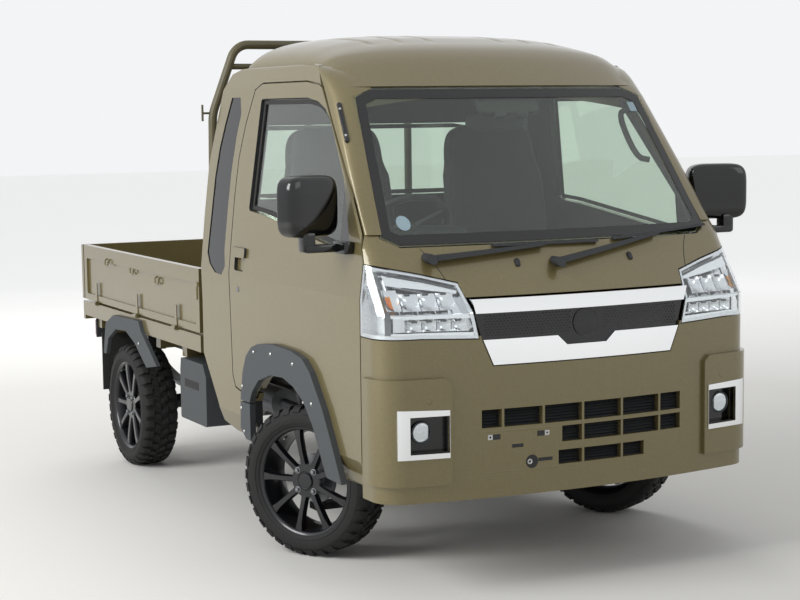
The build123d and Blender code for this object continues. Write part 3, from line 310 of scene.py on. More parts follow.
# %% Give every CAD piece its finish
finishes = {
    body_paint: ["high_roof", "cab_shell", "front_panel", "bumper", "door_right", "door_left",
                 "side_gate_right", "side_gate_left", "tailgate", "bed_floor"],
    window_glass: ["windscreen", "rear_window", "door_glass_right", "door_glass_left"],
    dark_glass: ["quarter_windows"],
    clear_lens: ["headlamps"],
    red_lens: ["tail_lamps"],
    chromed_trim: ["grille_bars", "fog_bezels"],
    lamp_reflector: ["lamp_bowls"],
    black_gloss: ["grille_panel", "mirror_right", "mirror_left", "fog_lamps"],
    flare_plastic: ["door_flare_right", "door_flare_left", "body_flares", "side_box"],
    flap_rubber: ["mudflaps"],
    guard_paint: ["guard_frame"],
    chassis_enamel: ["ladder_frame", "rear_axle", "front_suspension", "strut_right", "strut_left",
                     "fuel_tank"],
    bare_steel: ["leaf_springs", "knuckle_right", "knuckle_left", "exhaust_pipe"],
    cast_engine: ["engine_block", "drive_line", "radiator"],
    seat_cloth: ["seats"],
    cabin_plastic: ["dashboard", "steering_wheel", "wipers"],
    tyre_rubber: [name for name in cad if name.startswith("tyre_")],
    wheel_black: [name for name in cad if name.startswith("rim_")],
}
for material, names in finishes.items():
    for name in names:
        mesh = cad[name].data
        mesh.materials.clear()
        mesh.materials.append(material)
        mesh.polygons.foreach_set("use_smooth", [True] * len(mesh.polygons))
        mesh.set_sharp_from_angle(angle=math.radians(30))
print("dressed", sum(len(names) for names in finishes.values()), "of", len(cad), "CAD pieces")

# %% [markdown]
# ## Inside faces
# A cab is painted steel outside and lined inside. The CAD shell is one solid wall, so its inner faces are
# told from the outer ones by where they look: an inner face looks towards the middle of the cabin. The
# roof gets a knitted lining, the floor a rubber mat, and everything between them grained plastic.

# %% Line the cabin
cabin_middle = Vector((0, -0.75, 1.2))
cabin_front, cabin_back, floor_top = -1.62, 0.02, 0.9


def line_inside(name, wall, ceiling, mat):
    mesh = cad[name].data
    first = len(mesh.materials)
    for material in (wall, ceiling, mat):
        mesh.materials.append(material)
    lined = 0
    for face in mesh.polygons:
        looks_in = face.normal.dot(cabin_middle - face.center) > 0.02
        if not looks_in or face.center.y > cabin_back or face.center.y < cabin_front:
            continue
        if face.normal.z < -0.75:
            face.material_index = first + 1
        elif face.normal.z > 0.75 and face.center.z < floor_top:
            face.material_index = first + 2
        else:
            face.material_index = first
        lined += 1
    return lined


lined_faces = [line_inside(name, cabin_plastic, roof_lining, flap_rubber)
               for name in ("cab_shell", "high_roof", "door_right", "door_left")]
print("inner faces lined:", lined_faces)

# %% [markdown]
# ## Helpers for pieces
# Most small parts are made from four simple forms: a bevelled block, a turned form, a bent tube and a thin
# plate that lies on a CAD face. Each helper adds its form to one open mesh, so that like parts (all the
# lugs of a tyre, all the bolts of a flare) end up as one piece. The plate finds its place by sending a ray
# at the CAD piece that carries it, so it always seats, whatever that surface's curve.

# %% Helpers for pieces
bpy.context.view_layer.update()
mm = 0.001
both_sides = (("right", -1), ("left", 1))


def rectangle(low, high, z_low, z_high):
    """The outline of a rectangle on a face, for a band or a plate."""
    return [(low, z_low), (high, z_low), (high, z_high), (low, z_high)]


def in_mm(pairs):
    """Pairs of millimetres as pairs of metres."""
    return [(one * mm, other * mm) for one, other in pairs]


def moved_to(x, y, z):
    return Matrix.Translation((x, y, z))


def turned(degrees, axis):
    return Matrix.Rotation(math.radians(degrees), 4, axis)


def add_block(bm, low, high, bevel=0.003, place=Matrix()):
    """A block between two corners with rounded edges."""
    middle = (Vector(low) + Vector(high)) / 2
    size = Vector(high) - Vector(low)
    grown = place @ Matrix.Translation(middle) @ Matrix.Diagonal((*size, 1))
    made = bmesh.ops.create_cube(bm, size=1.0, matrix=grown)
    if bevel:
        edges = list({edge for vert in made["verts"] for edge in vert.link_edges})
        bmesh.ops.bevel(bm, geom=edges, offset=min(bevel, min(size) * 0.45), segments=2, profile=0.6,
                        affect="EDGES", clamp_overlap=True)


def add_loops(bm, loops):
    """Faces between each closed loop of vertices and the next one."""
    for one, two in zip(loops, loops[1:]):
        for i in range(len(one)):
            j = (i + 1) % len(one)
            bm.faces.new((one[i], one[j], two[j], two[i]))


def add_sheet(bm, one, two, material_index=0):
    """Faces between two open rows of vertices."""
    for i in range(len(one) - 1):
        face = bm.faces.new((one[i], one[i + 1], two[i + 1], two[i]))
        face.material_index = material_index


def add_side_block(bm, sign, x_range, y_range, z_range, bevel):
    """A block on one side of the vehicle: x_range is how far out it runs, and sign says which side."""
    x_low, x_high = sorted(sign * x for x in x_range)
    add_block(bm, (x_low, y_range[0], z_range[0]), (x_high, y_range[1], z_range[1]), bevel)


def add_turned(bm, profile, sides, place=Matrix(), closed=False):
    """A form turned round the local Z axis: profile is a list of (radius, height)."""
    rings = []
    for radius, height in profile:
        rings.append([bm.verts.new(place @ Vector((radius * math.cos(turn), radius * math.sin(turn), height)))
                      for turn in (2 * math.pi * i / sides for i in range(sides))])
    pairs = list(zip(rings, rings[1:])) + ([(rings[-1], rings[0])] if closed else [])
    for pair in pairs:
        add_loops(bm, pair)
    if not closed:
        for ring in (rings[0], rings[-1]):
            bm.faces.new(ring)


def add_tube(bm, points, radius, sides=10):
    """A round bar that follows points, with closed ends."""
    points = [Vector(point) for point in points]
    rings = []
    aside = None
    for i, point in enumerate(points):
        along = (points[min(i + 1, len(points) - 1)] - points[max(i - 1, 0)]).normalized()
        if aside is None:
            aside = along.orthogonal().normalized()
        aside = (aside - along * aside.dot(along)).normalized()
        over = along.cross(aside)
        rings.append([bm.verts.new(point + (aside * math.cos(turn) + over * math.sin(turn)) * radius)
                      for turn in (2 * math.pi * k / sides for k in range(sides))])
    add_loops(bm, rings)
    for ring in (rings[0], rings[-1]):
        bm.faces.new(ring)


def smooth_path(corners):
    """A rounded path through corner points, by cutting the corners twice over."""
    points = [Vector(corner) for corner in corners]
    for _ in range(2):
        cut = [points[0]]
        for one, two in zip(points, points[1:]):
            cut += [one.lerp(two, 0.25), one.lerp(two, 0.75)]
        points = cut + [points[-1]]
    return points


looks = {  # the way each look goes, and where its ray starts for a place across and a height
         "front": (Vector((0, 1, 0)), lambda a, h: Vector((a, -3, h))),
         "back": (Vector((0, -1, 0)), lambda a, h: Vector((a, 3, h))),
         "right": (Vector((1, 0, 0)), lambda a, h: Vector((-2, a, h))),
         "left": (Vector((-1, 0, 0)), lambda a, h: Vector((2, a, h)))}


def on_skin(node, across, height, look="front", lift=0.0):
    """The place on a CAD piece that this look meets, lifted off it, and the way the surface faces."""
    towards, start = looks[look]
    hit, place, normal, face = cad[node].ray_cast(start(across, height), towards)
    if not hit:
        hit, place, normal, face = cad[node].closest_point_on_mesh(start(across, height) + towards * 1.4)
    if normal.dot(towards) > 0:
        normal = -normal
    return place + normal * lift, normal


def standing(place, normal):
    """A matrix whose Z axis stands on a surface."""
    return Matrix.Translation(place) @ normal.to_track_quat("Z", "Y").to_matrix().to_4x4()


def shortened(outline, step=0.03):
    """The same closed outline with its long edges cut into short ones, so that it can follow a curve."""
    points = []
    for (a, h), (b, k) in zip(outline, outline[1:] + outline[:1]):
        parts = max(1, math.ceil(math.hypot(b - a, k - h) / step))
        points += [(a + (b - a) * i / parts, h + (k - h) * i / parts) for i in range(parts)]
    return points


def narrowed(outline, amount):
    """A closed outline moved inwards by one amount all round."""
    area = sum(a * k - b * h for (a, h), (b, k) in zip(outline, outline[1:] + outline[:1]))
    turn = 1 if area > 0 else -1
    moved = []
    for before, here, after in zip(outline[-1:] + outline[:-1], outline, outline[1:] + outline[:1]):
        one = Vector((here[0] - before[0], here[1] - before[1])).normalized()
        two = Vector((after[0] - here[0], after[1] - here[1])).normalized()
        inwards = Vector((-one.y - two.y, one.x + two.x)) * turn
        inwards = inwards / max(inwards.length_squared / 2, 0.4)
        moved.append((here[0] + inwards.x * amount, here[1] + inwards.y * amount))
    return moved


def add_skin_band(bm, node, outer, inner, look, lift, thick):
    """A thin closed frame that lies on a CAD face: outer and inner are outlines with matching points."""
    loops = [[bm.verts.new(on_skin(node, a, h, look, rise)[0]) for a, h in outline]
             for outline, rise in ((outer, lift), (outer, lift + thick), (inner, lift + thick),
                                   (inner, lift))]
    add_loops(bm, loops + loops[:1])


def add_skin_plate(bm, node, outline, look, lift, thick):
    """A thin plate that lies on a CAD face."""
    loops = [[bm.verts.new(on_skin(node, a, h, look, rise)[0]) for a, h in outline]
             for rise in (lift, lift + thick)]
    add_loops(bm, loops)
    for loop in loops:
        bm.faces.new(loop)


def place_piece(name, bm, materials, body, smooth=35):
    """Turn an open mesh into a finished piece that rides on a body."""
    bmesh.ops.recalc_face_normals(bm, faces=bm.faces)
    mesh = bpy.data.meshes.new(name)
    bm.to_mesh(mesh)
    bm.free()
    for material in (materials if isinstance(materials, list) else [materials]):
        mesh.materials.append(material)
    mesh.polygons.foreach_set("use_smooth", [True] * len(mesh.polygons))
    mesh.set_sharp_from_angle(angle=math.radians(smooth))
    piece = bpy.data.objects.new(name, mesh)
    bpy.context.scene.collection.objects.link(piece)
    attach(piece, body)
    return piece


print("piece helpers ready")

# %% [markdown]
# ## Tyres
# The tyres have the chunky tread of a light truck's all-terrain tyre: tall lugs on both shoulders that run
# over the edge, and two staggered rows of blocks between them. The casing is turned from one profile with
# the fine rings that a mould leaves on a sidewall; the lugs are laid round it in a loop. The whole tyre
# stays within the 275 mm radius of the CAD tyre that it stands for.

# %% Tyres
half_casing = [(194, -64), (198, -72), (206, -78), (222, -81.5), (240, -81), (252, -78), (262, -70),
               (265, -58), (266, 0)]
casing = in_mm(half_casing + [(r, -z) for r, z in half_casing[-2::-1]])
rings = [(212, 80.6), (213.5, 81.9), (215, 81.6), (216.5, 81.2)]
joints = {joint["name"]: joint for joint in frame["record"]["behaviour"]["joints"]}
corners = ["front_right", "front_left", "rear_right", "rear_left"]


def wheel_place(corner):
    low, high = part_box("tyre_" + corner)
    outward = Vector(joints["wheel_" + corner + "_spin"]["axis"]).normalized()
    up = Vector((0, 0, 1))
    facing = Matrix((up, outward.cross(up), outward)).transposed().to_4x4()
    return Matrix.Translation((Vector(low) + Vector(high)) / 2) @ facing


def add_lug(bm, place, turn, width, section, skew=0.0):
    """One tread lug: a section in (radius, height), laid from one angle to the next, narrower at its top."""
    top = max(radius for radius, height in section)
    sides = []
    for end in (-1, 1):
        ring = []
        for radius, height in section:
            narrow = 0.84 if radius > top - 2 * mm else 1.0
            angle = turn + end * width / 2 * narrow + skew * height
            corner = Vector((radius * math.cos(angle), radius * math.sin(angle), height))
            ring.append(bm.verts.new(place @ corner))
        sides.append(ring)
    add_loops(bm, sides)
    bm.faces.new(sides[0])
    bm.faces.new(sides[1][::-1])


def shoulder_section(side, low_r):
    points = in_mm([(262, 36), (275, 36), (274.6, 58), (271, 68), (262, 76.5), (low_r, 81.8), (low_r, 78),
                    (258, 70)])
    return [(r, z * side) for r, z in points]


def middle_section(z_low, z_high):
    return in_mm([(263, z_low), (274.8, z_low + 1.5), (274.8, z_high - 1.5), (263, z_high)])


lug_count = 34
for corner in corners:
    place = wheel_place(corner)
    tyre = bmesh.new()
    add_turned(tyre, casing, 96, place, closed=True)
    for side in (-1, 1):
        for z_flat, radius in ((80.8, 214), (80.6, 226), (79.6, 245)):
            ridge = [((radius - 1.4) * mm, z_flat * mm * side), (radius * mm, (z_flat + 1.1) * mm * side),
                     ((radius + 1.4) * mm, z_flat * mm * side), (radius * mm, (z_flat - 2) * mm * side)]
            add_turned(tyre, ridge, 96, place, closed=True)
    for i in range(lug_count):
        turn = 2 * math.pi * i / lug_count
        pitch = 2 * math.pi / lug_count
        for side in (-1, 1):
            shift = 0 if side < 0 else pitch / 2
            add_lug(tyre, place, turn + shift, pitch * 0.66, shoulder_section(side, 250 if i % 2 else 255))
            add_lug(tyre, place, turn + shift + pitch * 0.5, pitch * 0.5,
                    middle_section(*((4, 31) if side > 0 else (-31, -4))), skew=side * 1.6)
    piece = place_piece("treaded_tyre_" + corner, tyre, tyre_rubber, "wheel_" + corner, 28)
    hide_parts("tyre_" + corner)
print("tyres:", len(corners), "with", lug_count * 4, "lugs each")

# %% [markdown]
# ## Wheels
# Each wheel is cast in one piece: a barrel with a lip, nine slender spokes and a hub with four nuts and a
# plain cap. The barrel is turned from one closed profile, and a spoke is a bar with five stations whose
# front is narrower than its back, as a casting has to be to leave its mould.

# %% Wheels
barrel = in_mm([(201, 73), (202, 70), (200, 66), (193, 62), (191, 50), (186, 30), (179, 4), (178, -40),
                (191, -60), (200, -66), (202, -71), (198, -72), (188, -64), (172, -42), (173, 2),
                (180, 32), (185, 52), (187, 64), (194, 70)])
hub = in_mm([(24, 40), (61, 40), (63, 44), (63, 54), (60, 57.5), (36, 58), (34, 56), (31, 56), (30, 60),
             (28, 62.5), (12, 63.2)])
spoke_stations = [  # (radius, half width of the front, half width of the back, front height, back height)
    (52, 11, 14, 57, 38), (75, 8.5, 12, 59, 38), (115, 8, 11.5, 62, 40), (155, 9.5, 13, 64, 42),
    (187, 14, 17, 63, 44)]
spokes, nuts, nut_ring = 9, 4, 50 * mm


def add_spoke(bm, place):
    rings = []
    for radius, front, back, high, low in spoke_stations:
        shape = [(-back, low), (back, low), (back, high - 7), (front, high), (-front, high),
                 (-back, high - 7)]
        rings.append([bm.verts.new(place @ Vector((radius * mm, y * mm, z * mm))) for y, z in shape])
    add_loops(bm, rings)
    for ring in (rings[0], rings[-1]):
        bm.faces.new(ring)


for corner in corners:
    place = wheel_place(corner)
    rim = bmesh.new()
    add_turned(rim, barrel, 96, place, closed=True)
    add_turned(rim, hub, 48, place)
    for i in range(spokes):
        turn = 2 * math.pi * i / spokes + math.radians(10)
        add_spoke(rim, place @ Matrix.Rotation(turn, 4, "Z"))
    piece = place_piece("nine_spoke_wheel_" + corner, rim, wheel_black, "wheel_" + corner, 40)
    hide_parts("rim_" + corner)

    fittings = bmesh.new()
    for i in range(nuts):
        turn = math.radians(45) + 2 * math.pi * i / nuts
        seat = place @ Matrix.Rotation(turn, 4, "Z") @ Matrix.Translation((nut_ring, 0, 0))
        add_turned(fittings, in_mm([(12, 57), (12, 58.6), (10.6, 58.8)]), 24, seat)
        add_turned(fittings, in_mm([(8.6, 58), (8.6, 65), (7, 67), (3, 67.8)]), 6, seat)
    stem = place @ Matrix.Rotation(math.radians(30), 4, "Z")
    add_tube(fittings, [stem @ Vector((178 * mm, 0, 48 * mm)), stem @ Vector((173 * mm, 0, 60 * mm)),
                        stem @ Vector((170 * mm, 0, 70 * mm))], 3.6 * mm)
    place_piece("nuts_and_valve_" + corner, fittings, bare_steel, "wheel_" + corner)
print("wheels:", len(corners), "spokes:", spokes, "nuts:", nuts)

# %% [markdown]
# ## Bolts on the flares
# The flares are held by small bright bolts along their outer edge. Each is a low button head, set where a
# ray from the side meets the flare.

# %% Flare bolts
front_axle_y, rear_axle_y = -0.856, 1.044
bolt_places = [(278, 711), (113, 722), (-90, 710), (-251, 589), (398, 566)]
low_bolt_places = [(412, 480), (387, 393), (-352, 470), (-440, 380)]
button_head = in_mm([(6.5, -2), (6.5, 1.2), (5, 3), (2.2, 3.8)])


def add_flare_bolts(bm, node, side, axle_y, places):
    for ahead, height in places:
        place, normal = on_skin(node, axle_y + ahead * mm, height * mm, side)
        if (place - Vector((place.x, axle_y + ahead * mm, height * mm))).length < 0.004:
            add_turned(bm, button_head, 16, standing(place, normal))


for side in ("right", "left"):
    bolts = bmesh.new()
    add_flare_bolts(bolts, "door_flare_" + side, side, front_axle_y, bolt_places)
    place_piece("door_flare_bolts_" + side, bolts, zinc_bolt, "door_" + side + "_body")
    bolts = bmesh.new()
    add_flare_bolts(bolts, "body_flares", side, front_axle_y, low_bolt_places)
    add_flare_bolts(bolts, "body_flares", side, rear_axle_y, bolt_places + low_bolt_places)
    place_piece("body_flare_bolts_" + side, bolts, zinc_bolt, "chassis")
print("flare bolts set")

# %% [markdown]
# ## Window borders and seals
# A bonded windscreen has a black ceramic border printed on the glass, which hides the glue. The door glass
# runs in a black rubber channel. Both are thin closed frames that lie on the glass: the outline is the
# opening's own, and the inner edge is that outline moved inwards.

# %% Window borders
screen_edge = [(-0.650, 1.187), (-0.586, 1.652), (-0.518, 1.680), (0.518, 1.680), (0.586, 1.652),
               (0.650, 1.187), (0.597, 1.158), (-0.597, 1.158)]
screen_edge = shortened(screen_edge, 0.06)
border = bmesh.new()
add_skin_band(border, "windscreen", narrowed(screen_edge, 0.003), narrowed(screen_edge, 0.034), "front",
              0.0003, 0.0008)
place_piece("windscreen_border", border, black_gloss, "chassis")

door_glass_edge = [(-1.358, 1.128), (-1.254, 1.370), (-1.184, 1.463), (-1.096, 1.572), (-1.049, 1.609),
                   (-0.978, 1.636), (-0.881, 1.649), (-0.460, 1.649), (-0.436, 1.237), (-0.587, 1.226)]
door_glass_edge = shortened(door_glass_edge, 0.08)
for side in ("right", "left"):
    channel = bmesh.new()
    add_skin_band(channel, "door_glass_" + side, narrowed(door_glass_edge, 0.001),
                  narrowed(door_glass_edge, 0.016), side, 0.0004, 0.004)
    place_piece("door_glass_channel_" + side, channel, flap_rubber, "door_" + side + "_body")

rear_glass_edge = shortened([(-0.517, 1.253), (-0.517, 1.547), (0.517, 1.547), (0.517, 1.253)], 0.1)
channel = bmesh.new()
add_skin_band(channel, "rear_window", rear_glass_edge, narrowed(rear_glass_edge, 0.018), "back", 0.0004,
              0.004)
place_piece("rear_window_seal", channel, flap_rubber, "chassis")
print("window borders: 4")

# %% [markdown]
# ## Headlamps
# Behind the clear lens sits a bright bowl with two rows of small reflectors, an amber turn lamp at the
# outer corner, a clear position lamp under it and polished bars between the rows. Each reflector is a
# shallow dish: a grid whose depth follows a parabola, so that it gathers light in its middle as a real one
# does. All of it is placed behind the lens by the same ray that finds the lens's face.

# %% Headlamps
def add_dish(bm, node, x_edges, z_edges, mirror, edge_lift, depth, steps=8):
    """A parabolic dish between two x and two z values, sunk behind a CAD face."""
    grid = []
    for j in range(steps + 1):
        row = []
        for i in range(steps + 1):
            u, v = i / steps * 2 - 1, j / steps * 2 - 1
            x = (x_edges[0] + x_edges[1] + (x_edges[1] - x_edges[0]) * u) / 2 * mirror
            z = (z_edges[0] + z_edges[1] + (z_edges[1] - z_edges[0]) * v) / 2
            sink = edge_lift - depth * max(0.0, 1 - 0.5 * (u * u + v * v) - 0.5 * max(u * u, v * v))
            row.append(bm.verts.new(on_skin(node, x, z, "front")[0] + Vector((0, -sink, 0))))
        grid.append(row)
    for low, high in zip(grid, grid[1:]):
        add_sheet(bm, low, high)


def side_points(points, mirror):
    return shortened([(x * mm * mirror, z * mm) for x, z in points], 0.04)


top_row = [(470, 528), (531, 589), (592, 652)]
low_row = [(446, 493), (496, 543), (546, 593), (596, 643)]
bright_bars = [
    [(452, 1016), (560, 1044), (690, 1072), (690, 1040), (560, 1022), (458, 1008)],
    [(428, 926), (655, 931), (700, 934), (700, 948), (655, 948), (440, 946)],
    [(418, 866), (600, 873), (700, 873), (700, 884), (600, 884), (416, 879)],
]
grey_edges = [
    [(449, 1022), (562, 1052), (706, 1082), (706, 1074), (562, 1045), (450, 1016)],
    [(700, 878), (716, 878), (716, 1082), (700, 1080)],
]
for side, mirror in both_sides:
    dishes = bmesh.new()
    for x_edges in top_row:
        add_dish(dishes, "headlamps", [x * mm for x in x_edges], [0.953, 1.006], mirror, -0.014, 0.016)
    for x_edges in low_row:
        add_dish(dishes, "headlamps", [x * mm for x in x_edges], [0.887, 0.923], mirror, -0.014, 0.012)
    add_dish(dishes, "headlamps", [0.656, 0.7], [0.955, 1.02], mirror, -0.014, 0.012)
    place_piece("lamp_reflectors_" + side, dishes, lamp_reflector, "chassis", 20)
    bars = bmesh.new()
    for outline in bright_bars:
        add_skin_plate(bars, "headlamps", side_points(outline, mirror), "front", -0.013, 0.005)
    place_piece("lamp_bright_bars_" + side, bars, chromed_trim, "chassis")
    rims_of_lamp = bmesh.new()
    for outline in grey_edges:
        add_skin_plate(rims_of_lamp, "headlamps", side_points(outline, mirror), "front", -0.011, 0.004)
    for x_edges in top_row + low_row:
        z_top = 1.008 if x_edges in top_row else 0.925
        x_mid = (x_edges[0] + x_edges[1]) / 2 * mm * mirror
        place = on_skin("headlamps", x_mid, z_top - 0.004, "front")[0]
        add_block(rims_of_lamp, place + Vector((-0.009, 0.012, -0.004)),
                  place + Vector((0.009, 0.026, 0.003)), 0.001)
    place_piece("lamp_dark_edges_" + side, rims_of_lamp, flare_plastic, "chassis")
    amber = bmesh.new()
    turn_lamp_edge = rectangle(684, 714, 957, 1006)
    add_skin_plate(amber, "headlamps", side_points(turn_lamp_edge, mirror), "front", -0.013, 0.003)
    place_piece("turn_lamp_" + side, amber, amber_lens, "chassis")
print("headlamp dishes:", len(top_row) + len(low_row) + 1, "a side")

# %% [markdown]
# ## Fog lamps
# A round lamp sits in the black floor of each bright bezel: a turned ring, a dish behind it and a domed
# clear cover.

# %% Fog lamps
fog_x, fog_z = 0.600, 0.556
for side, mirror in both_sides:
    place, normal = on_skin("fog_lamps", fog_x * mirror, fog_z, "front")
    seat = standing(place, Vector((0, -1, 0)))
    ring = bmesh.new()
    add_turned(ring, in_mm([(38, -1), (38, 5), (35, 8), (32, 8), (31, 1)]), 48, seat, closed=True)
    place_piece("fog_lamp_ring_" + side, ring, flare_plastic, "chassis")
    dish = bmesh.new()
    add_turned(dish, in_mm([(31, 4), (26, 1.6), (14, 0.6), (7, 1), (6, 3.6)]), 48, seat)
    place_piece("fog_lamp_dish_" + side, dish, lamp_reflector, "chassis")
    cover = bmesh.new()
    add_turned(cover, in_mm([(31.5, 5), (31.5, 7), (26, 9.6), (15, 11.4), (4, 12), (4, 10.4), (15, 9.8),
                             (26, 7.8)]), 48, seat, closed=True)
    place_piece("fog_lamp_cover_" + side, cover, clear_lens, "chassis")
    well = bmesh.new()
    x_in, x_out, z_low, z_high = 0.5205, 0.6515, 0.4905, 0.6105
    ring = [(x_in, z_low), (x_out, z_low), (x_out, z_high), (x_in, z_high)]
    loops = []
    for inwards, depth in ((0.0, 0.004), (0.0, None), (0.0015, None), (0.0015, 0.004)):
        points = []
        for x, z in ring:
            x += inwards if x == x_in else -inwards
            z += inwards if z == z_low else -inwards
            face_y = on_skin("bumper", mirror * x, 0.640, "front")[0].y
            points.append(well.verts.new((mirror * x, face_y + depth if depth else place.y - 0.001, z)))
        loops.append(points)
    add_loops(well, loops + loops[:1])
    place_piece("fog_lamp_well_" + side, well, black_gloss, "chassis")
print("fog lamps: 2")

# %% [markdown]
# ## The lower bumper
# Dark louvred ducts stand behind the three rows of openings. Beside them is the bare place for a number
# plate: a slightly raised panel with two bright clips for its bolts. Its two slots, its towing eye's hole
# and the openings beside the clips are not cut: flat black sheets on its face are painted shade for them.

# %% Lower bumper
bumper_height = 0.640


def bumper_y(x):
    return on_skin("bumper", x, bumper_height, "front")[0].y


duct_depth = 0.017
ducts = bmesh.new()
slot_rows = [(-0.399, 0.401, 0.556, 0.619), (-0.101, 0.401, 0.488, 0.544), (-0.115, 0.239, 0.412, 0.462)]
for x_low, x_high, z_low, z_high in slot_rows:
    parts = math.ceil((x_high - x_low) / 0.04)
    xs = [x_low + (x_high - x_low) * i / parts for i in range(parts + 1)]
    blades = max(3, round((z_high - z_low) / 0.011))
    for k in range(blades):
        z = z_low + (z_high - z_low) * (k + 0.5) / blades
        loops = []
        for dy, dz in ((0.0, -0.0032), (0.009, 0.0032), (0.0105, 0.0022), (0.0015, -0.0042)):
            loops.append([ducts.verts.new((x, bumper_y(x) + duct_depth + dy, z + dz)) for x in xs])
        for one, two in zip(loops, loops[1:] + loops[:1]):
            add_sheet(ducts, one, two)
    back = [[ducts.verts.new((x, bumper_y(x) + duct_depth + 0.012, z)) for x in xs] for z in (z_low, z_high)]
    add_sheet(ducts, *back)
place_piece("bumper_ducts", ducts, cabin_plastic, "chassis")

plate_edge = shortened([(-0.401, 0.404), (-0.401, 0.540), (-0.394, 0.546), (-0.120, 0.546), (-0.114, 0.540),
                        (-0.114, 0.404)], 0.04)
panel = bmesh.new()
loops = [[panel.verts.new(on_skin("bumper", x, z, "front", rise)[0]) for x, z in outline]
         for outline, rise in ((plate_edge, 0.0), (narrowed(plate_edge, 0.0012), 0.0009),
                               (narrowed(plate_edge, 0.004), 0.0009), (narrowed(plate_edge, 0.005), 0.0))]
add_loops(panel, loops)
place_piece("plate_panel_edge", panel, body_paint, "chassis")

# Painted shade: flat black sheets on the uncut bumper stand for the dark inside its slots and holes.
painted_opening_shade = bmesh.new()
clips = bmesh.new()
hole_z, hole_r = 0.525, 0.00325
for x, beside in ((-0.367, 1), (-0.157, -1)):
    square, circle = [], []
    for i in range(16):
        turn = 2 * math.pi * i / 16
        reach = 0.0085 / max(abs(math.cos(turn)), abs(math.sin(turn)))
        square.append((x + reach * math.cos(turn), hole_z + reach * math.sin(turn)))
        circle.append((x + hole_r * 1.1 * math.cos(turn), hole_z + hole_r * 1.1 * math.sin(turn)))
    add_skin_band(clips, "bumper", square, circle, "front", 0.0002, 0.0008)
    low, high = sorted((x + beside * 0.0095, x + beside * 0.037))
    add_skin_plate(painted_opening_shade, "bumper", rectangle(low, high, 0.516, 0.534), "front", 0.0001, 0.0004)
for slot_edges in ((-0.288, -0.246, 0.484, 0.496), (-0.190, -0.136, 0.430, 0.442)):
    add_skin_plate(painted_opening_shade, "bumper", rectangle(*slot_edges), "front", 0.0001, 0.0004)
tow_x, tow_z, tow_r = -0.214, 0.432, 0.023
tow_edge = [(tow_x + tow_r * math.cos(math.pi * i / 12), tow_z + tow_r * math.sin(math.pi * i / 12))
            for i in range(24)]
add_skin_plate(painted_opening_shade, "bumper", tow_edge, "front", 0.0001, 0.0004)
place_piece("bumper_painted_opening_shade", painted_opening_shade, black_gloss, "chassis")
tow_seat = standing(*on_skin("bumper", tow_x, tow_z, "front"))
add_turned(clips, in_mm([(9, 0.3), (9, 0.9), (5, 1), (4.6, 0.4)]), 24, tow_seat @ moved_to(-0.008, 0, 0))
place_piece("plate_clips", clips, zinc_bolt, "chassis")

sensors = bmesh.new()
for x in (-0.584, 0.584):
    seat = standing(*on_skin("bumper", x, 0.660, "front"))
    add_turned(sensors, in_mm([(9.5, 0), (9.5, 0.4), (8.6, 0.6), (8.2, 0.1), (7.4, 0.8), (3, 1)]), 32, seat)
place_piece("parking_sensors", sensors, body_paint, "chassis")
print("lower bumper: ducts in", len(slot_rows), "rows")

# %% [markdown]
# ## The grille band
# The black band between the bright bars has a fine moulded pattern, made here from rows of small raised
# lozenges. In its middle, where a badge would be, is a plain round boss.

# %% Grille band
lozenges = bmesh.new()
for row in range(8):
    z = 0.863 + row * 0.0092
    for column in range(60):
        x = -0.378 + column * 0.0128 + (row % 2) * 0.0064
        if abs(x) < 0.064 and abs(z - 0.888) < 0.06 or abs(x) > 0.38:
            continue
        place, normal = on_skin("grille_panel", x, z, "front")
        seat = standing(place, Vector((0, -1, 0)))
        ring = [lozenges.verts.new(seat @ Vector(corner)) for corner in
                ((-0.005, 0, 0), (0, -0.0036, 0), (0.005, 0, 0), (0, 0.0036, 0))]
        tip = lozenges.verts.new(seat @ Vector((0, 0, 0.0022)))
        for i in range(4):
            lozenges.faces.new((ring[i], ring[(i + 1) % 4], tip))
place_piece("grille_lozenges", lozenges, black_gloss, "chassis", 10)
boss = bmesh.new()
add_turned(boss, in_mm([(50, -2), (50, 3), (48, 4.5), (45, 4.5), (43.5, 3), (20, 3.8), (4, 4)]), 64,
           standing(on_skin("grille_panel", 0, 0.889, "front")[0], Vector((0, -1, 0))))
place_piece("grille_plain_boss", boss, black_gloss, "chassis")
print("grille lozenges placed")

# %% [markdown]
# ## Rounded forms
# Mirrors, seats and pads are all rounded boxes whose faces swell a little. One formula gives them: a
# superellipsoid, whose squareness runs from an egg (1) to a box (0). A shape function can then bend or
# narrow it.

# %% Helpers for rounded forms
def add_rounded(bm, size, place, squareness=0.35, shape=None, around=40, upward=24):
    """A rounded box of this size about the local origin. shape moves each local point."""
    def bowed(value):
        return math.copysign(abs(value) ** squareness, value)

    rows = []
    for j in range(1, upward):
        lift = math.pi * (j / upward - 0.5)
        row = []
        for i in range(around):
            turn = 2 * math.pi * i / around
            point = Vector((size[0] / 2 * bowed(math.cos(lift)) * bowed(math.cos(turn)),
                            size[1] / 2 * bowed(math.cos(lift)) * bowed(math.sin(turn)),
                            size[2] / 2 * bowed(math.sin(lift))))
            row.append(bm.verts.new(place @ (shape(point) if shape else point)))
        rows.append(row)
    add_loops(bm, rows)
    for row in (rows[0], rows[-1]):
        bm.faces.new(row)


def add_knob(bm, size, place, squareness):
    """A small rounded box, with fewer faces."""
    add_rounded(bm, size, place, squareness, None, 20, 12)


print("rounded helpers ready")

# %% [markdown]
# ## Seats
# Each seat is a cushion and a high back that carries its own head rest and narrows a little at the top, in
# one hard-wearing cloth. A shallow channel is pressed beside the middle of each pad, on both sides, where
# the cover is sewn down, and the pads' edges swell a little to hold the driver.

# %% Seats
seat_x, seat_width = 0.345, 0.430
seam_x, seam_width, seam_depth = 0.095, 0.008, 0.006


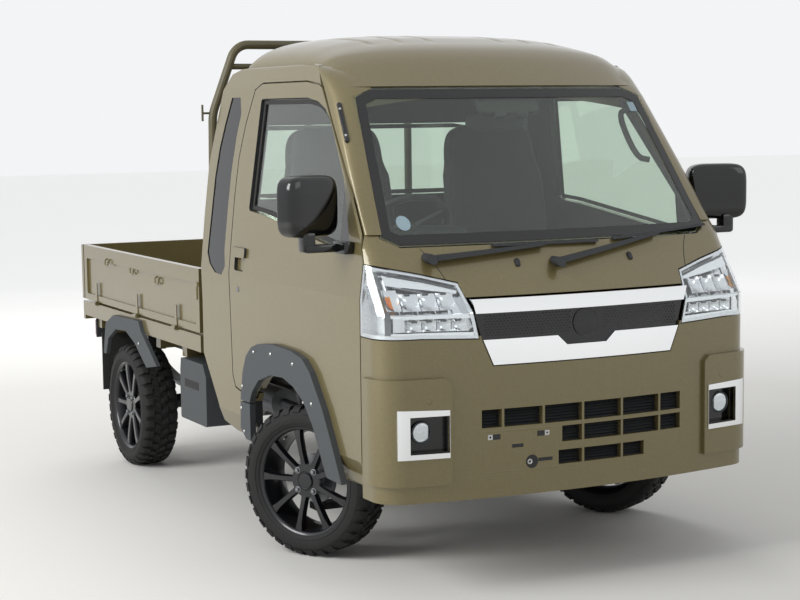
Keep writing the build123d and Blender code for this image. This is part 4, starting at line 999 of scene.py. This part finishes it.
def channelled(point, depth_axis, sign):
    """Press a seam on each side of the middle into the face that looks along one axis."""
    dip = math.exp(-((abs(point.x) - seam_x) / seam_width) ** 2) * seam_depth
    moved = point.copy()
    if sign * moved[depth_axis] > 0:
        moved[depth_axis] -= sign * dip
    return moved


def cushion_shape(point):
    moved = channelled(point, 2, 1)
    moved.z += 0.012 * (point.x / (seat_width / 2)) ** 2
    return moved


def back_shape(point):
    rise = min(1.0, max(0.0, (point.z - 0.10) / 0.10))
    narrow = 1 - 0.10 * rise * rise * (3 - 2 * rise)
    moved = channelled(point, 1, -1) if point.z < 0.12 else point.copy()
    moved.x *= narrow
    moved.y -= 0.018 * (point.x / (seat_width / 2)) ** 2 * (1 - rise)
    return moved


for side, sign in both_sides:
    pads = bmesh.new()
    cushion_place = moved_to(sign * seat_x, -0.765, 0.800) @ turned(4, "X")
    add_rounded(pads, (seat_width, 0.44, 0.135), cushion_place, 0.3, cushion_shape, 64, 32)
    back_place = moved_to(sign * seat_x, -0.462, 1.215) @ turned(-9.5, "X")
    add_rounded(pads, (seat_width, 0.105, 0.66), back_place, 0.32, back_shape, 72, 56)
    seat = place_piece("seat_" + side, pads, seat_cloth, "chassis", 60)
    if sign < 0:
        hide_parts("seats")
    base = bmesh.new()
    add_block(base, (sign * seat_x - 0.19, -0.93, 0.723), (sign * seat_x + 0.19, -0.56, 0.744), 0.006)
    add_block(base, (sign * (seat_x + 0.222) - 0.008, -0.60, 0.74),
              (sign * (seat_x + 0.222) + 0.008, -0.46, 0.86), 0.006)
    place_piece("seat_base_" + side, base, cabin_plastic, "chassis")
print("seats: 2")

# %% [markdown]
# ## Cabin fittings
# What shows through the glass: the instrument hood with one plain dial, four air vents, the gear lever, the
# mirror and sensor housing above the windscreen, two sun visors and the grab handle on the passenger's
# pillar.

# %% Cabin fittings
fittings = bmesh.new()
add_rounded(fittings, (0.34, 0.16, 0.09), moved_to(-0.37, -1.19, 1.155), 0.5)
for x in (-0.60, -0.13, 0.13, 0.60):
    for k in range(4):
        place, normal = on_skin("dashboard", x, 1.06 + k * 0.012, "back")
        add_block(fittings, place + Vector((-0.045, -0.004, -0.0025)),
                  place + Vector((0.045, 0.006, 0.0025)), 0.001)
add_block(fittings, (-0.09, -1.075, 0.86), (0.09, -1.05, 1.02), 0.01)
add_tube(fittings, [(0.02, -1.07, 0.90), (0.03, -0.99, 0.98), (0.03, -0.95, 1.06)], 0.008)
add_rounded(fittings, (0.042, 0.042, 0.06), moved_to(0.03, -0.945, 1.085), 0.7, None, 24, 14)
glass_slope = turned(54, "X")
add_rounded(fittings, (0.25, 0.105, 0.036), moved_to(0.0, -1.163, 1.625) @ glass_slope, 0.4)
for x in (-0.045, 0.045):
    add_rounded(fittings, (0.05, 0.05, 0.03), moved_to(x, -1.187, 1.592) @ glass_slope, 0.5, None, 24, 14)
add_rounded(fittings, (0.24, 0.024, 0.066), moved_to(-0.01, -1.095, 1.560), 0.5)
add_tube(fittings, [(0, -1.12, 1.62), (0, -1.10, 1.57)], 0.008)
grab_handle = [(0.556, -1.11, 1.60), (0.520, -1.10, 1.58), (0.535, -1.20, 1.42), (0.575, -1.23, 1.41)]
add_tube(fittings, smooth_path(grab_handle), 0.011)
for x in (-0.34, 0.34):
    add_rounded(fittings, (0.36, 0.13, 0.018), moved_to(x, -0.985, 1.672) @ turned(12, "X"), 0.35)
place_piece("cabin_fittings", fittings, cabin_plastic, "chassis")

dial = bmesh.new()
dial_place = moved_to(-0.37, -1.118, 1.148) @ turned(-70, "X")
add_turned(dial, in_mm([(46, 0), (46, 4), (43, 5), (42, 2), (4, 2.2)]), 48, dial_place)
for i in range(11):
    mark = dial_place @ turned(-30 + 24 * i, "Z")
    add_block(dial, (0.031, -0.0008, 0.0021), (0.039, 0.0008, 0.0032), 0.0002, mark)
place_piece("speed_dial", dial, bare_steel, "chassis")
for side, sign in both_sides:
    trim = bmesh.new()
    add_rounded(trim, (0.05, 0.46, 0.06), moved_to(sign * 0.640, -0.78, 0.93), 0.4)
    add_rounded(trim, (0.016, 0.13, 0.045), moved_to(sign * 0.655, -1.06, 1.06), 0.5)
    place_piece("door_arm_rest_" + side, trim, cabin_plastic, "door_" + side + "_body")
print("cabin fittings placed")

# %% [markdown]
# ## Door mirrors
# Each mirror is a rounded gloss case on a short arm, with a silvered glass let into its rear face.

# %% Door mirrors
mirror_turn, mirror_size, mirror_flat = 20, (0.226, 0.100, 0.208), 0.030
arm_blocks = [  # x range, y range, z range, bevel: the arm, then its foot on the door
    ((0.742, 0.874), (-1.345, -1.300), (1.136, 1.164), 0.009),
    ((0.716, 0.756), (-1.390, -1.296), (1.130, 1.172), 0.008)]


def case_shape(point):
    """The rear face is cut flat, for the glass."""
    return Vector((point.x, min(point.y, mirror_flat), point.z))


for side, sign in both_sides:
    mirror_place = moved_to(sign * 0.8395, -1.282, 1.290) @ turned(-sign * mirror_turn, "Z")
    case = bmesh.new()
    add_rounded(case, mirror_size, mirror_place, 0.42, case_shape, 72, 48)
    add_block(case, (sign * 0.858 - 0.024, -1.340, 1.138), (sign * 0.858 + 0.024, -1.292, 1.205), 0.010)
    for x_range, y_range, z_range, bevel in arm_blocks:
        add_side_block(case, sign, x_range, y_range, z_range, bevel)
    mirror = place_piece("mirror_case_" + side, case, black_gloss, "door_" + side + "_body",
                         50)
    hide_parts("mirror_" + side)
    glass = bmesh.new()
    add_rounded(glass, (0.196, 0.004, 0.180), mirror_place @ moved_to(0, 0.0322, 0), 0.3)
    place_piece("mirror_glass_" + side, glass, mirror_silver, "door_" + side + "_body")
    corner_plate = bmesh.new()
    plate_corners = [(-1.346, 1.134), (-1.236, 1.134), (-1.243, 1.362), (-1.252, 1.350)]
    add_skin_plate(corner_plate, "door_glass_" + side, plate_corners, side, 0.0006, 0.004)
    place_piece("mirror_corner_plate_" + side, corner_plate, black_gloss, "door_" + side + "_body")
print("mirrors: 2")

# %% [markdown]
# ## Tail lamps
# Three acrylic lenses in a black base: red for tail and brake, amber for the turn and clear for reverse.

# %% Tail lamps
base, reds, ambers, clears = bmesh.new(), bmesh.new(), bmesh.new(), bmesh.new()
for sign in (-1, 1):
    for x_range, target in (((0.606, 0.684), reds), ((0.558, 0.602), ambers), ((0.508, 0.554), clears)):
        add_side_block(target, sign, x_range, (1.6465, 1.672), (0.530, 0.604), 0.006)
    add_side_block(base, sign, (0.501, 0.689), (1.630, 1.646), (0.521, 0.613), 0.005)
base_piece = place_piece("tail_lamp_bases", base, cabin_plastic, "chassis")
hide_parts("tail_lamps")
place_piece("tail_lamp_red_lenses", reds, red_lens, "chassis")
place_piece("tail_lamp_amber_lenses", ambers, amber_lens, "chassis")
place_piece("tail_lamp_clear_lenses", clears, clear_lens, "chassis")
print("tail lamps: 2 clusters of 3 lenses")

# %% [markdown]
# ## Small things on the cab
# Two washer nozzles, the seams of the front panel, two blank stickers on the windscreen, one round and one
# square, and the door locks.

# %% Small things on the cab
nozzles = bmesh.new()
for x, z in ((-0.205, 1.091), (0.249, 1.092)):
    place, normal = on_skin("front_panel", x, z, "front")
    facing = normal.to_track_quat("Y", "Z").to_matrix().to_4x4()
    add_knob(nozzles, (0.018, 0.016, 0.030), Matrix.Translation(place) @ facing, 0.5)
place_piece("washer_nozzles", nozzles, cabin_plastic, "chassis")

seams = bmesh.new()
seam_line = [(0.487, 1.046), (0.492, 1.078), (0.508, 1.112), (0.535, 1.148)]
for sign in (-1, 1):
    path = [on_skin("front_panel", sign * x, z)[0] for x, z in seam_line]
    add_tube(seams, smooth_path(path), 0.0013, 6)
place_piece("front_panel_seams", seams, flap_rubber, "chassis")

sticker = bmesh.new()
sticker_x, sticker_z, sticker_r = -0.560, 1.230, 0.024
sticker_edge = [(sticker_x + sticker_r * math.cos(math.pi * i / 16),
                 sticker_z + sticker_r * math.sin(math.pi * i / 16)) for i in range(32)]
add_skin_plate(sticker, "windscreen", sticker_edge, "front", 0.0003, 0.0004)
add_skin_plate(sticker, "windscreen", [(0.522, 1.592), (0.556, 1.592), (0.552, 1.626), (0.520, 1.626)],
               "front", 0.0003, 0.0004)
place_piece("blank_stickers", sticker, sticker_paper, "chassis")

for side in ("right", "left"):
    lock = bmesh.new()
    place, normal = on_skin("door_" + side, -0.376, 0.929, side)
    add_turned(lock, in_mm([(11, -1), (11, 1.6), (9.5, 2.4), (7.5, 1.8), (2, 1.9)]), 32,
               standing(place, normal))
    place_piece("door_lock_" + side, lock, bare_steel, "door_" + side + "_body")
print("small cab pieces placed")

# %% [markdown]
# ## The bed's hardware
# Rope hooks of bent rod under each side gate's rim, the lever latch that holds each gate at its front,
# the rope hooks on the guard's frame and, for the side box's recess, a dark sheet of painted shade.

# %% Bed hardware
hook_places = [(1.253, 0.920), (0.914, 0.907), (0.574, 0.889)]
hook_bend = [  # along the gate, out from it, up
    (-0.024, 0.0, 0.012), (-0.024, 0.011, 0.008), (-0.020, 0.011, -0.018),
    (0.020, 0.011, -0.018), (0.024, 0.011, 0.008), (0.024, 0.0, 0.012)]
hook_limit = 0.757
for side, sign in both_sides:
    hooks = bmesh.new()
    for y, z in hook_places:
        place, normal = on_skin("side_gate_" + side, y, z, side)
        path = [place + Vector((sign * rise, along, lift)) for along, rise, lift in hook_bend]
        path = [Vector((max(-hook_limit, min(hook_limit, p.x)), p.y, p.z)) for p in path]
        add_tube(hooks, smooth_path(path), 0.0036, 8)
    place, normal = on_skin("side_gate_" + side, 0.080, 0.912, side)
    add_knob(hooks, (0.012, 0.038, 0.020), Matrix.Translation(place), 0.4)
    add_knob(hooks, (0.010, 0.016, 0.060), Matrix.Translation(place + Vector((0, 0, -0.035))), 0.4)
    place_piece("gate_hooks_" + side, hooks, body_paint, "side_gate_" + side + "_body")
hooks = bmesh.new()
for sign in (-1, 1):
    place = Vector((sign * 0.668, 0.070, 1.603))
    tip = Vector((sign * 0.030, 0, 0))
    add_tube(hooks, [place, place + tip], 0.0045, 10)
    add_tube(hooks, [place + tip + Vector((0, 0, -0.032)), place + tip + Vector((0, 0, 0.034))], 0.0045, 10)
place_piece("guard_rope_hooks", hooks, guard_paint, "chassis")
# Painted shade: a dark rubber sheet laid flat on the side box stands for the shade in its recess.
recess_shade_sheet = bmesh.new()
add_skin_plate(recess_shade_sheet, "side_box", rectangle(0.180, 0.345, 0.455, 0.488), "right", 0.0002, 0.0006)
place_piece("side_box_recess_shade", recess_shade_sheet, flap_rubber, "chassis")
print("bed hardware placed")

# %% [markdown]
# ## The raised roof
# The CAD roof is a block cut by flat planes. The pressed panel that dresses it keeps that form but swells:
# a height above the front edge, a round shoulder towards each side and a short fall at the back, with six
# shallow stiffening grooves along the crown. The lining underneath is the same surface, one wall thinner.

# %% The raised roof
roof_half, roof_rear = 0.603, -0.178
rise_table = [(-0.10, 1.598), (0.0, 1.690), (0.100, 1.780), (0.144, 1.813), (0.200, 1.838), (0.354, 1.873),
              (0.520, 1.888), (0.620, 1.892), (1.20, 1.892)]
side_table = [(-0.10, 1.680), (0.0, 1.688), (0.050, 1.716), (0.100, 1.744), (0.170, 1.765), (1.20, 1.765)]


def read_table(table, at):
    for (a, one), (b, two) in zip(table, table[1:]):
        if at <= b:
            return one + (two - one) * (at - a) / (b - a)
    return table[-1][1]


def roof_point(u, s, wall=0.0):
    """A point of the roof: u runs from side to side, s from front to back. wall moves it inwards."""
    half = roof_half - wall
    x = half * math.sin(u * math.pi / 2)
    front = -1.154 + 0.144 * x * x + 1.8 * max(0.0, abs(x) - 0.50) ** 2 + wall
    y = front + (roof_rear - wall - front) * s
    t = y - front
    if t > 0.036:
        middle = sum(read_table(rise_table, t + 0.012 * k) for k in range(-3, 4)) / 7
    else:
        middle = read_table(rise_table, t)
    side = read_table(side_table, t)
    shoulder = max(0.0, 1 - abs(x / half) ** 3.2) ** (1 / 2.6)
    back = max(0.0, 1 - max(0.0, (y + 0.33) / (0.33 + roof_rear - wall)) ** 2.2) ** (1 / 2.2)
    groove = sum(math.exp(-((abs(x) - g) / 0.010) ** 2) for g in (0.15, 0.27, 0.39))
    along = min(1.0, max(0.0, (y + 0.90) / 0.08)) * min(1.0, max(0.0, (-0.27 - y) / 0.06))
    height = side + (middle - side) * shoulder * back - 0.006 * groove * along - 0.8 * wall * shoulder
    return Vector((x, y, height))


across, along_rows = 240, 64
roof_skirt = Vector((0, 0, 0.035))
panel = bmesh.new()
skins = []
for wall in (0.0, 0.024):
    grid = []
    for j in range(along_rows + 1):
        s = (j / along_rows) ** 1.3
        row = [roof_point(2 * i / across - 1, s, wall) for i in range(across + 1)]
        row = [row[0] - roof_skirt] + row + [row[-1] - roof_skirt]
        grid.append([panel.verts.new(point) for point in row])
    skins.append(grid)
    for one, two in zip(grid, grid[1:]):
        add_sheet(panel, one, two, 1 if wall else 0)
outside, inside = skins
for one, two in ((outside[0], inside[0]), (outside[-1], inside[-1]),
                 ([row[0] for row in outside], [row[0] for row in inside]),
                 ([row[-1] for row in outside], [row[-1] for row in inside])):
    add_sheet(panel, one, two)
roof_panel = place_piece("roof_panel", panel, [body_paint, roof_lining], "chassis", 40)
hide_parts("high_roof")
print("roof panel:", len(roof_panel.data.polygons), "faces")

# %% [markdown]
# ## Pillar skins
# Between the bonded windscreen and the door frame the pillar is one smooth pressing. It runs up from the
# scuttle and bends back into the gutter beside the raised roof. Each row below is the edge at the glass
# and the edge at the door, and a curve swells between the two. The door keeps its gap. A black bar with
# two screws lies on the driver's pillar.

# %% Pillar skins
pillar_rows = [  # height, glass edge (x, y), door edge (x, y)
    (1.196, (0.647, -1.452), (0.698, -1.429)), (1.220, (0.644, -1.434), (0.696, -1.410)),
    (1.260, (0.638, -1.405), (0.694, -1.378)), (1.300, (0.633, -1.376), (0.690, -1.350)),
    (1.400, (0.620, -1.307), (0.682, -1.263)),
    (1.500, (0.606, -1.237), (0.671, -1.176)), (1.600, (0.592, -1.166), (0.659, -1.087)),
    (1.650, (0.584, -1.130), (0.652, -1.044)), (1.668, (0.552, -1.123), (0.650, -1.029)),
    (1.682, (0.518, -1.119), (0.649, -1.018)), (1.690, (0.512, -1.110), (0.648, -1.012)),
    (1.720, (0.520, -1.072), (0.645, -0.984)), (1.745, (0.540, -1.025), (0.640, -0.957)),
    (1.762, (0.560, -0.970), (0.634, -0.925)), (1.774, (0.560, -0.905), (0.625, -0.880)),
    (1.7755, (0.560, -0.840), (0.618, -0.830))]


def pillar_point(sign, height, share):
    """A point on the skin: share 0 is the glass edge, 1 is the door edge."""
    edges = [read_table([(row[0], row[k][n]) for row in pillar_rows], height) for k in (1, 2) for n in (0, 1)]
    glass_edge, door_edge = Vector((edges[0], edges[1], height)), Vector((edges[2], edges[3], height))
    bend = Vector((door_edge.x - 0.004, glass_edge.y + 0.22 * (door_edge.y - glass_edge.y), height))
    point = (1 - share) ** 2 * glass_edge + 2 * share * (1 - share) * bend + share ** 2 * door_edge
    return Vector((sign * point.x, point.y, point.z))


heights = [1.196 + 0.454 * k / 18 for k in range(19)]
heights += [1.659, 1.668, 1.675, 1.682, 1.690, 1.705, 1.720, 1.733, 1.745, 1.754, 1.762, 1.768, 1.774,
            1.7755]
for side, sign in both_sides:
    skin = bmesh.new()
    loops = []
    for height in heights:
        row = [pillar_point(sign, height, k / 14) for k in range(15)]
        row += [row[-1] - Vector((sign * 0.030, 0.012, 0)), row[0] + Vector((sign * 0.012, 0.030, 0))]
        loops.append([skin.verts.new(point) for point in row])
    add_loops(skin, loops)
    for loop in (loops[0], loops[-1]):
        skin.faces.new(loop)
    place_piece("pillar_skin_" + side, skin, body_paint, "chassis", 50)

bar = bmesh.new()
bar_ends = (1.505, 1.625)
bar_lift = Vector((-0.003, -0.003, 0.001))
bar_path = [pillar_point(-1, bar_ends[0] + (bar_ends[1] - bar_ends[0]) * k / 8, 0.52) + bar_lift
            for k in range(9)]
add_tube(bar, bar_path, 0.0085, 12)
for end in (bar_path[0], bar_path[-1]):
    add_knob(bar, (0.019, 0.012, 0.019), Matrix.Translation(end), 0.9)
place_piece("pillar_bar", bar, black_gloss, "chassis")
bar_screws = bmesh.new()
for point in (bar_path[1], bar_path[-2]):
    screw_place = Matrix.Translation(point + Vector((-0.004, -0.0085, 0.002)))
    add_rounded(bar_screws, (0.009, 0.005, 0.009), screw_place, 0.9, None, 16, 8)
place_piece("pillar_bar_screws", bar_screws, zinc_bolt, "chassis")
print("pillar skins: 2")

# %% [markdown]
# ## The studio
# A pale floor that glows a little more with distance, so that it fades into the sky, one large soft lamp
# from the side, a weak one from the front and one from behind that gloss doesn't show. The camera sees the
# sky as near white, and so do reflections and glass, but the light that it sends on the truck is weaker.

# %% Floor, sky and lamps
floor_mesh = bpy.data.meshes.new("studio_floor")
floor_mesh.from_pydata([(-40, -40, 0), (40, -40, 0), (40, 40, 0), (-40, 40, 0)], [], [(0, 1, 2, 3)])
floor = bpy.data.objects.new("studio_floor", floor_mesh)
bpy.context.scene.collection.objects.link(floor)
floor_material, floor_shader, floor_place = new_material("pale_studio_floor", {
    "Base Color": linear("#E3E2DE"), "Roughness": 0.9})
floor_mesh.materials.append(floor_material)
distance = add_node(floor_material, "ShaderNodeVectorMath", {"Vector": (floor_place, "Object")},
                    operation="LENGTH")
far = add_node(floor_material, "ShaderNodeMapRange", {
    "Value": (distance, "Value"), "From Min": 3.5, "From Max": 9.0, "To Min": 0.0, "To Max": 0.52})
join(floor_material, far, 0, floor_shader, "Emission Strength")
floor_shader.inputs["Emission Color"].default_value = linear("#F3F4F6")

world = bpy.data.worlds.new("pale_sky")
world.use_nodes = True
bpy.context.scene.world = world
sky = world.node_tree.nodes["Background"]
sky.inputs["Color"].default_value = linear("#F3F4F6")
rays = add_node(world, "ShaderNodeLightPath")
seen = add_node(world, "ShaderNodeMath", {0: (rays, "Is Camera Ray"), 1: (rays, "Is Glossy Ray")},
                operation="MAXIMUM")
seen_all = add_node(world, "ShaderNodeMath", {0: (seen, 0), 1: (rays, "Is Transmission Ray")},
                    operation="MAXIMUM")
level = add_node(world, "ShaderNodeMapRange", {"Value": (seen_all, 0), "To Min": 0.48, "To Max": 1.0})
join(world, level, 0, sky, "Strength")


def soft_lamp(name, place, aim, size, watts):
    data = bpy.data.lights.new(name, "AREA")
    data.size = size
    data.energy = watts
    lamp = bpy.data.objects.new(name, data)
    lamp.location = place
    lamp.rotation_euler = (Vector(aim) - Vector(place)).to_track_quat("-Z", "Y").to_euler()
    bpy.context.scene.collection.objects.link(lamp)
    return lamp


soft_lamp("key_lamp", (-7.0, -1.0, 4.6), (0, 0, 0.8), 4.0, 480)
soft_lamp("fill_lamp", (3.5, -7.0, 4.5), (0, 0, 0.8), 4.0, 60)
soft_lamp("back_lamp", (1.0, 6.0, 5.0), (0, 0, 0.8), 4.0, 220).visible_glossy = False
bpy.context.scene.view_settings.view_transform = "Standard"
print("studio ready")
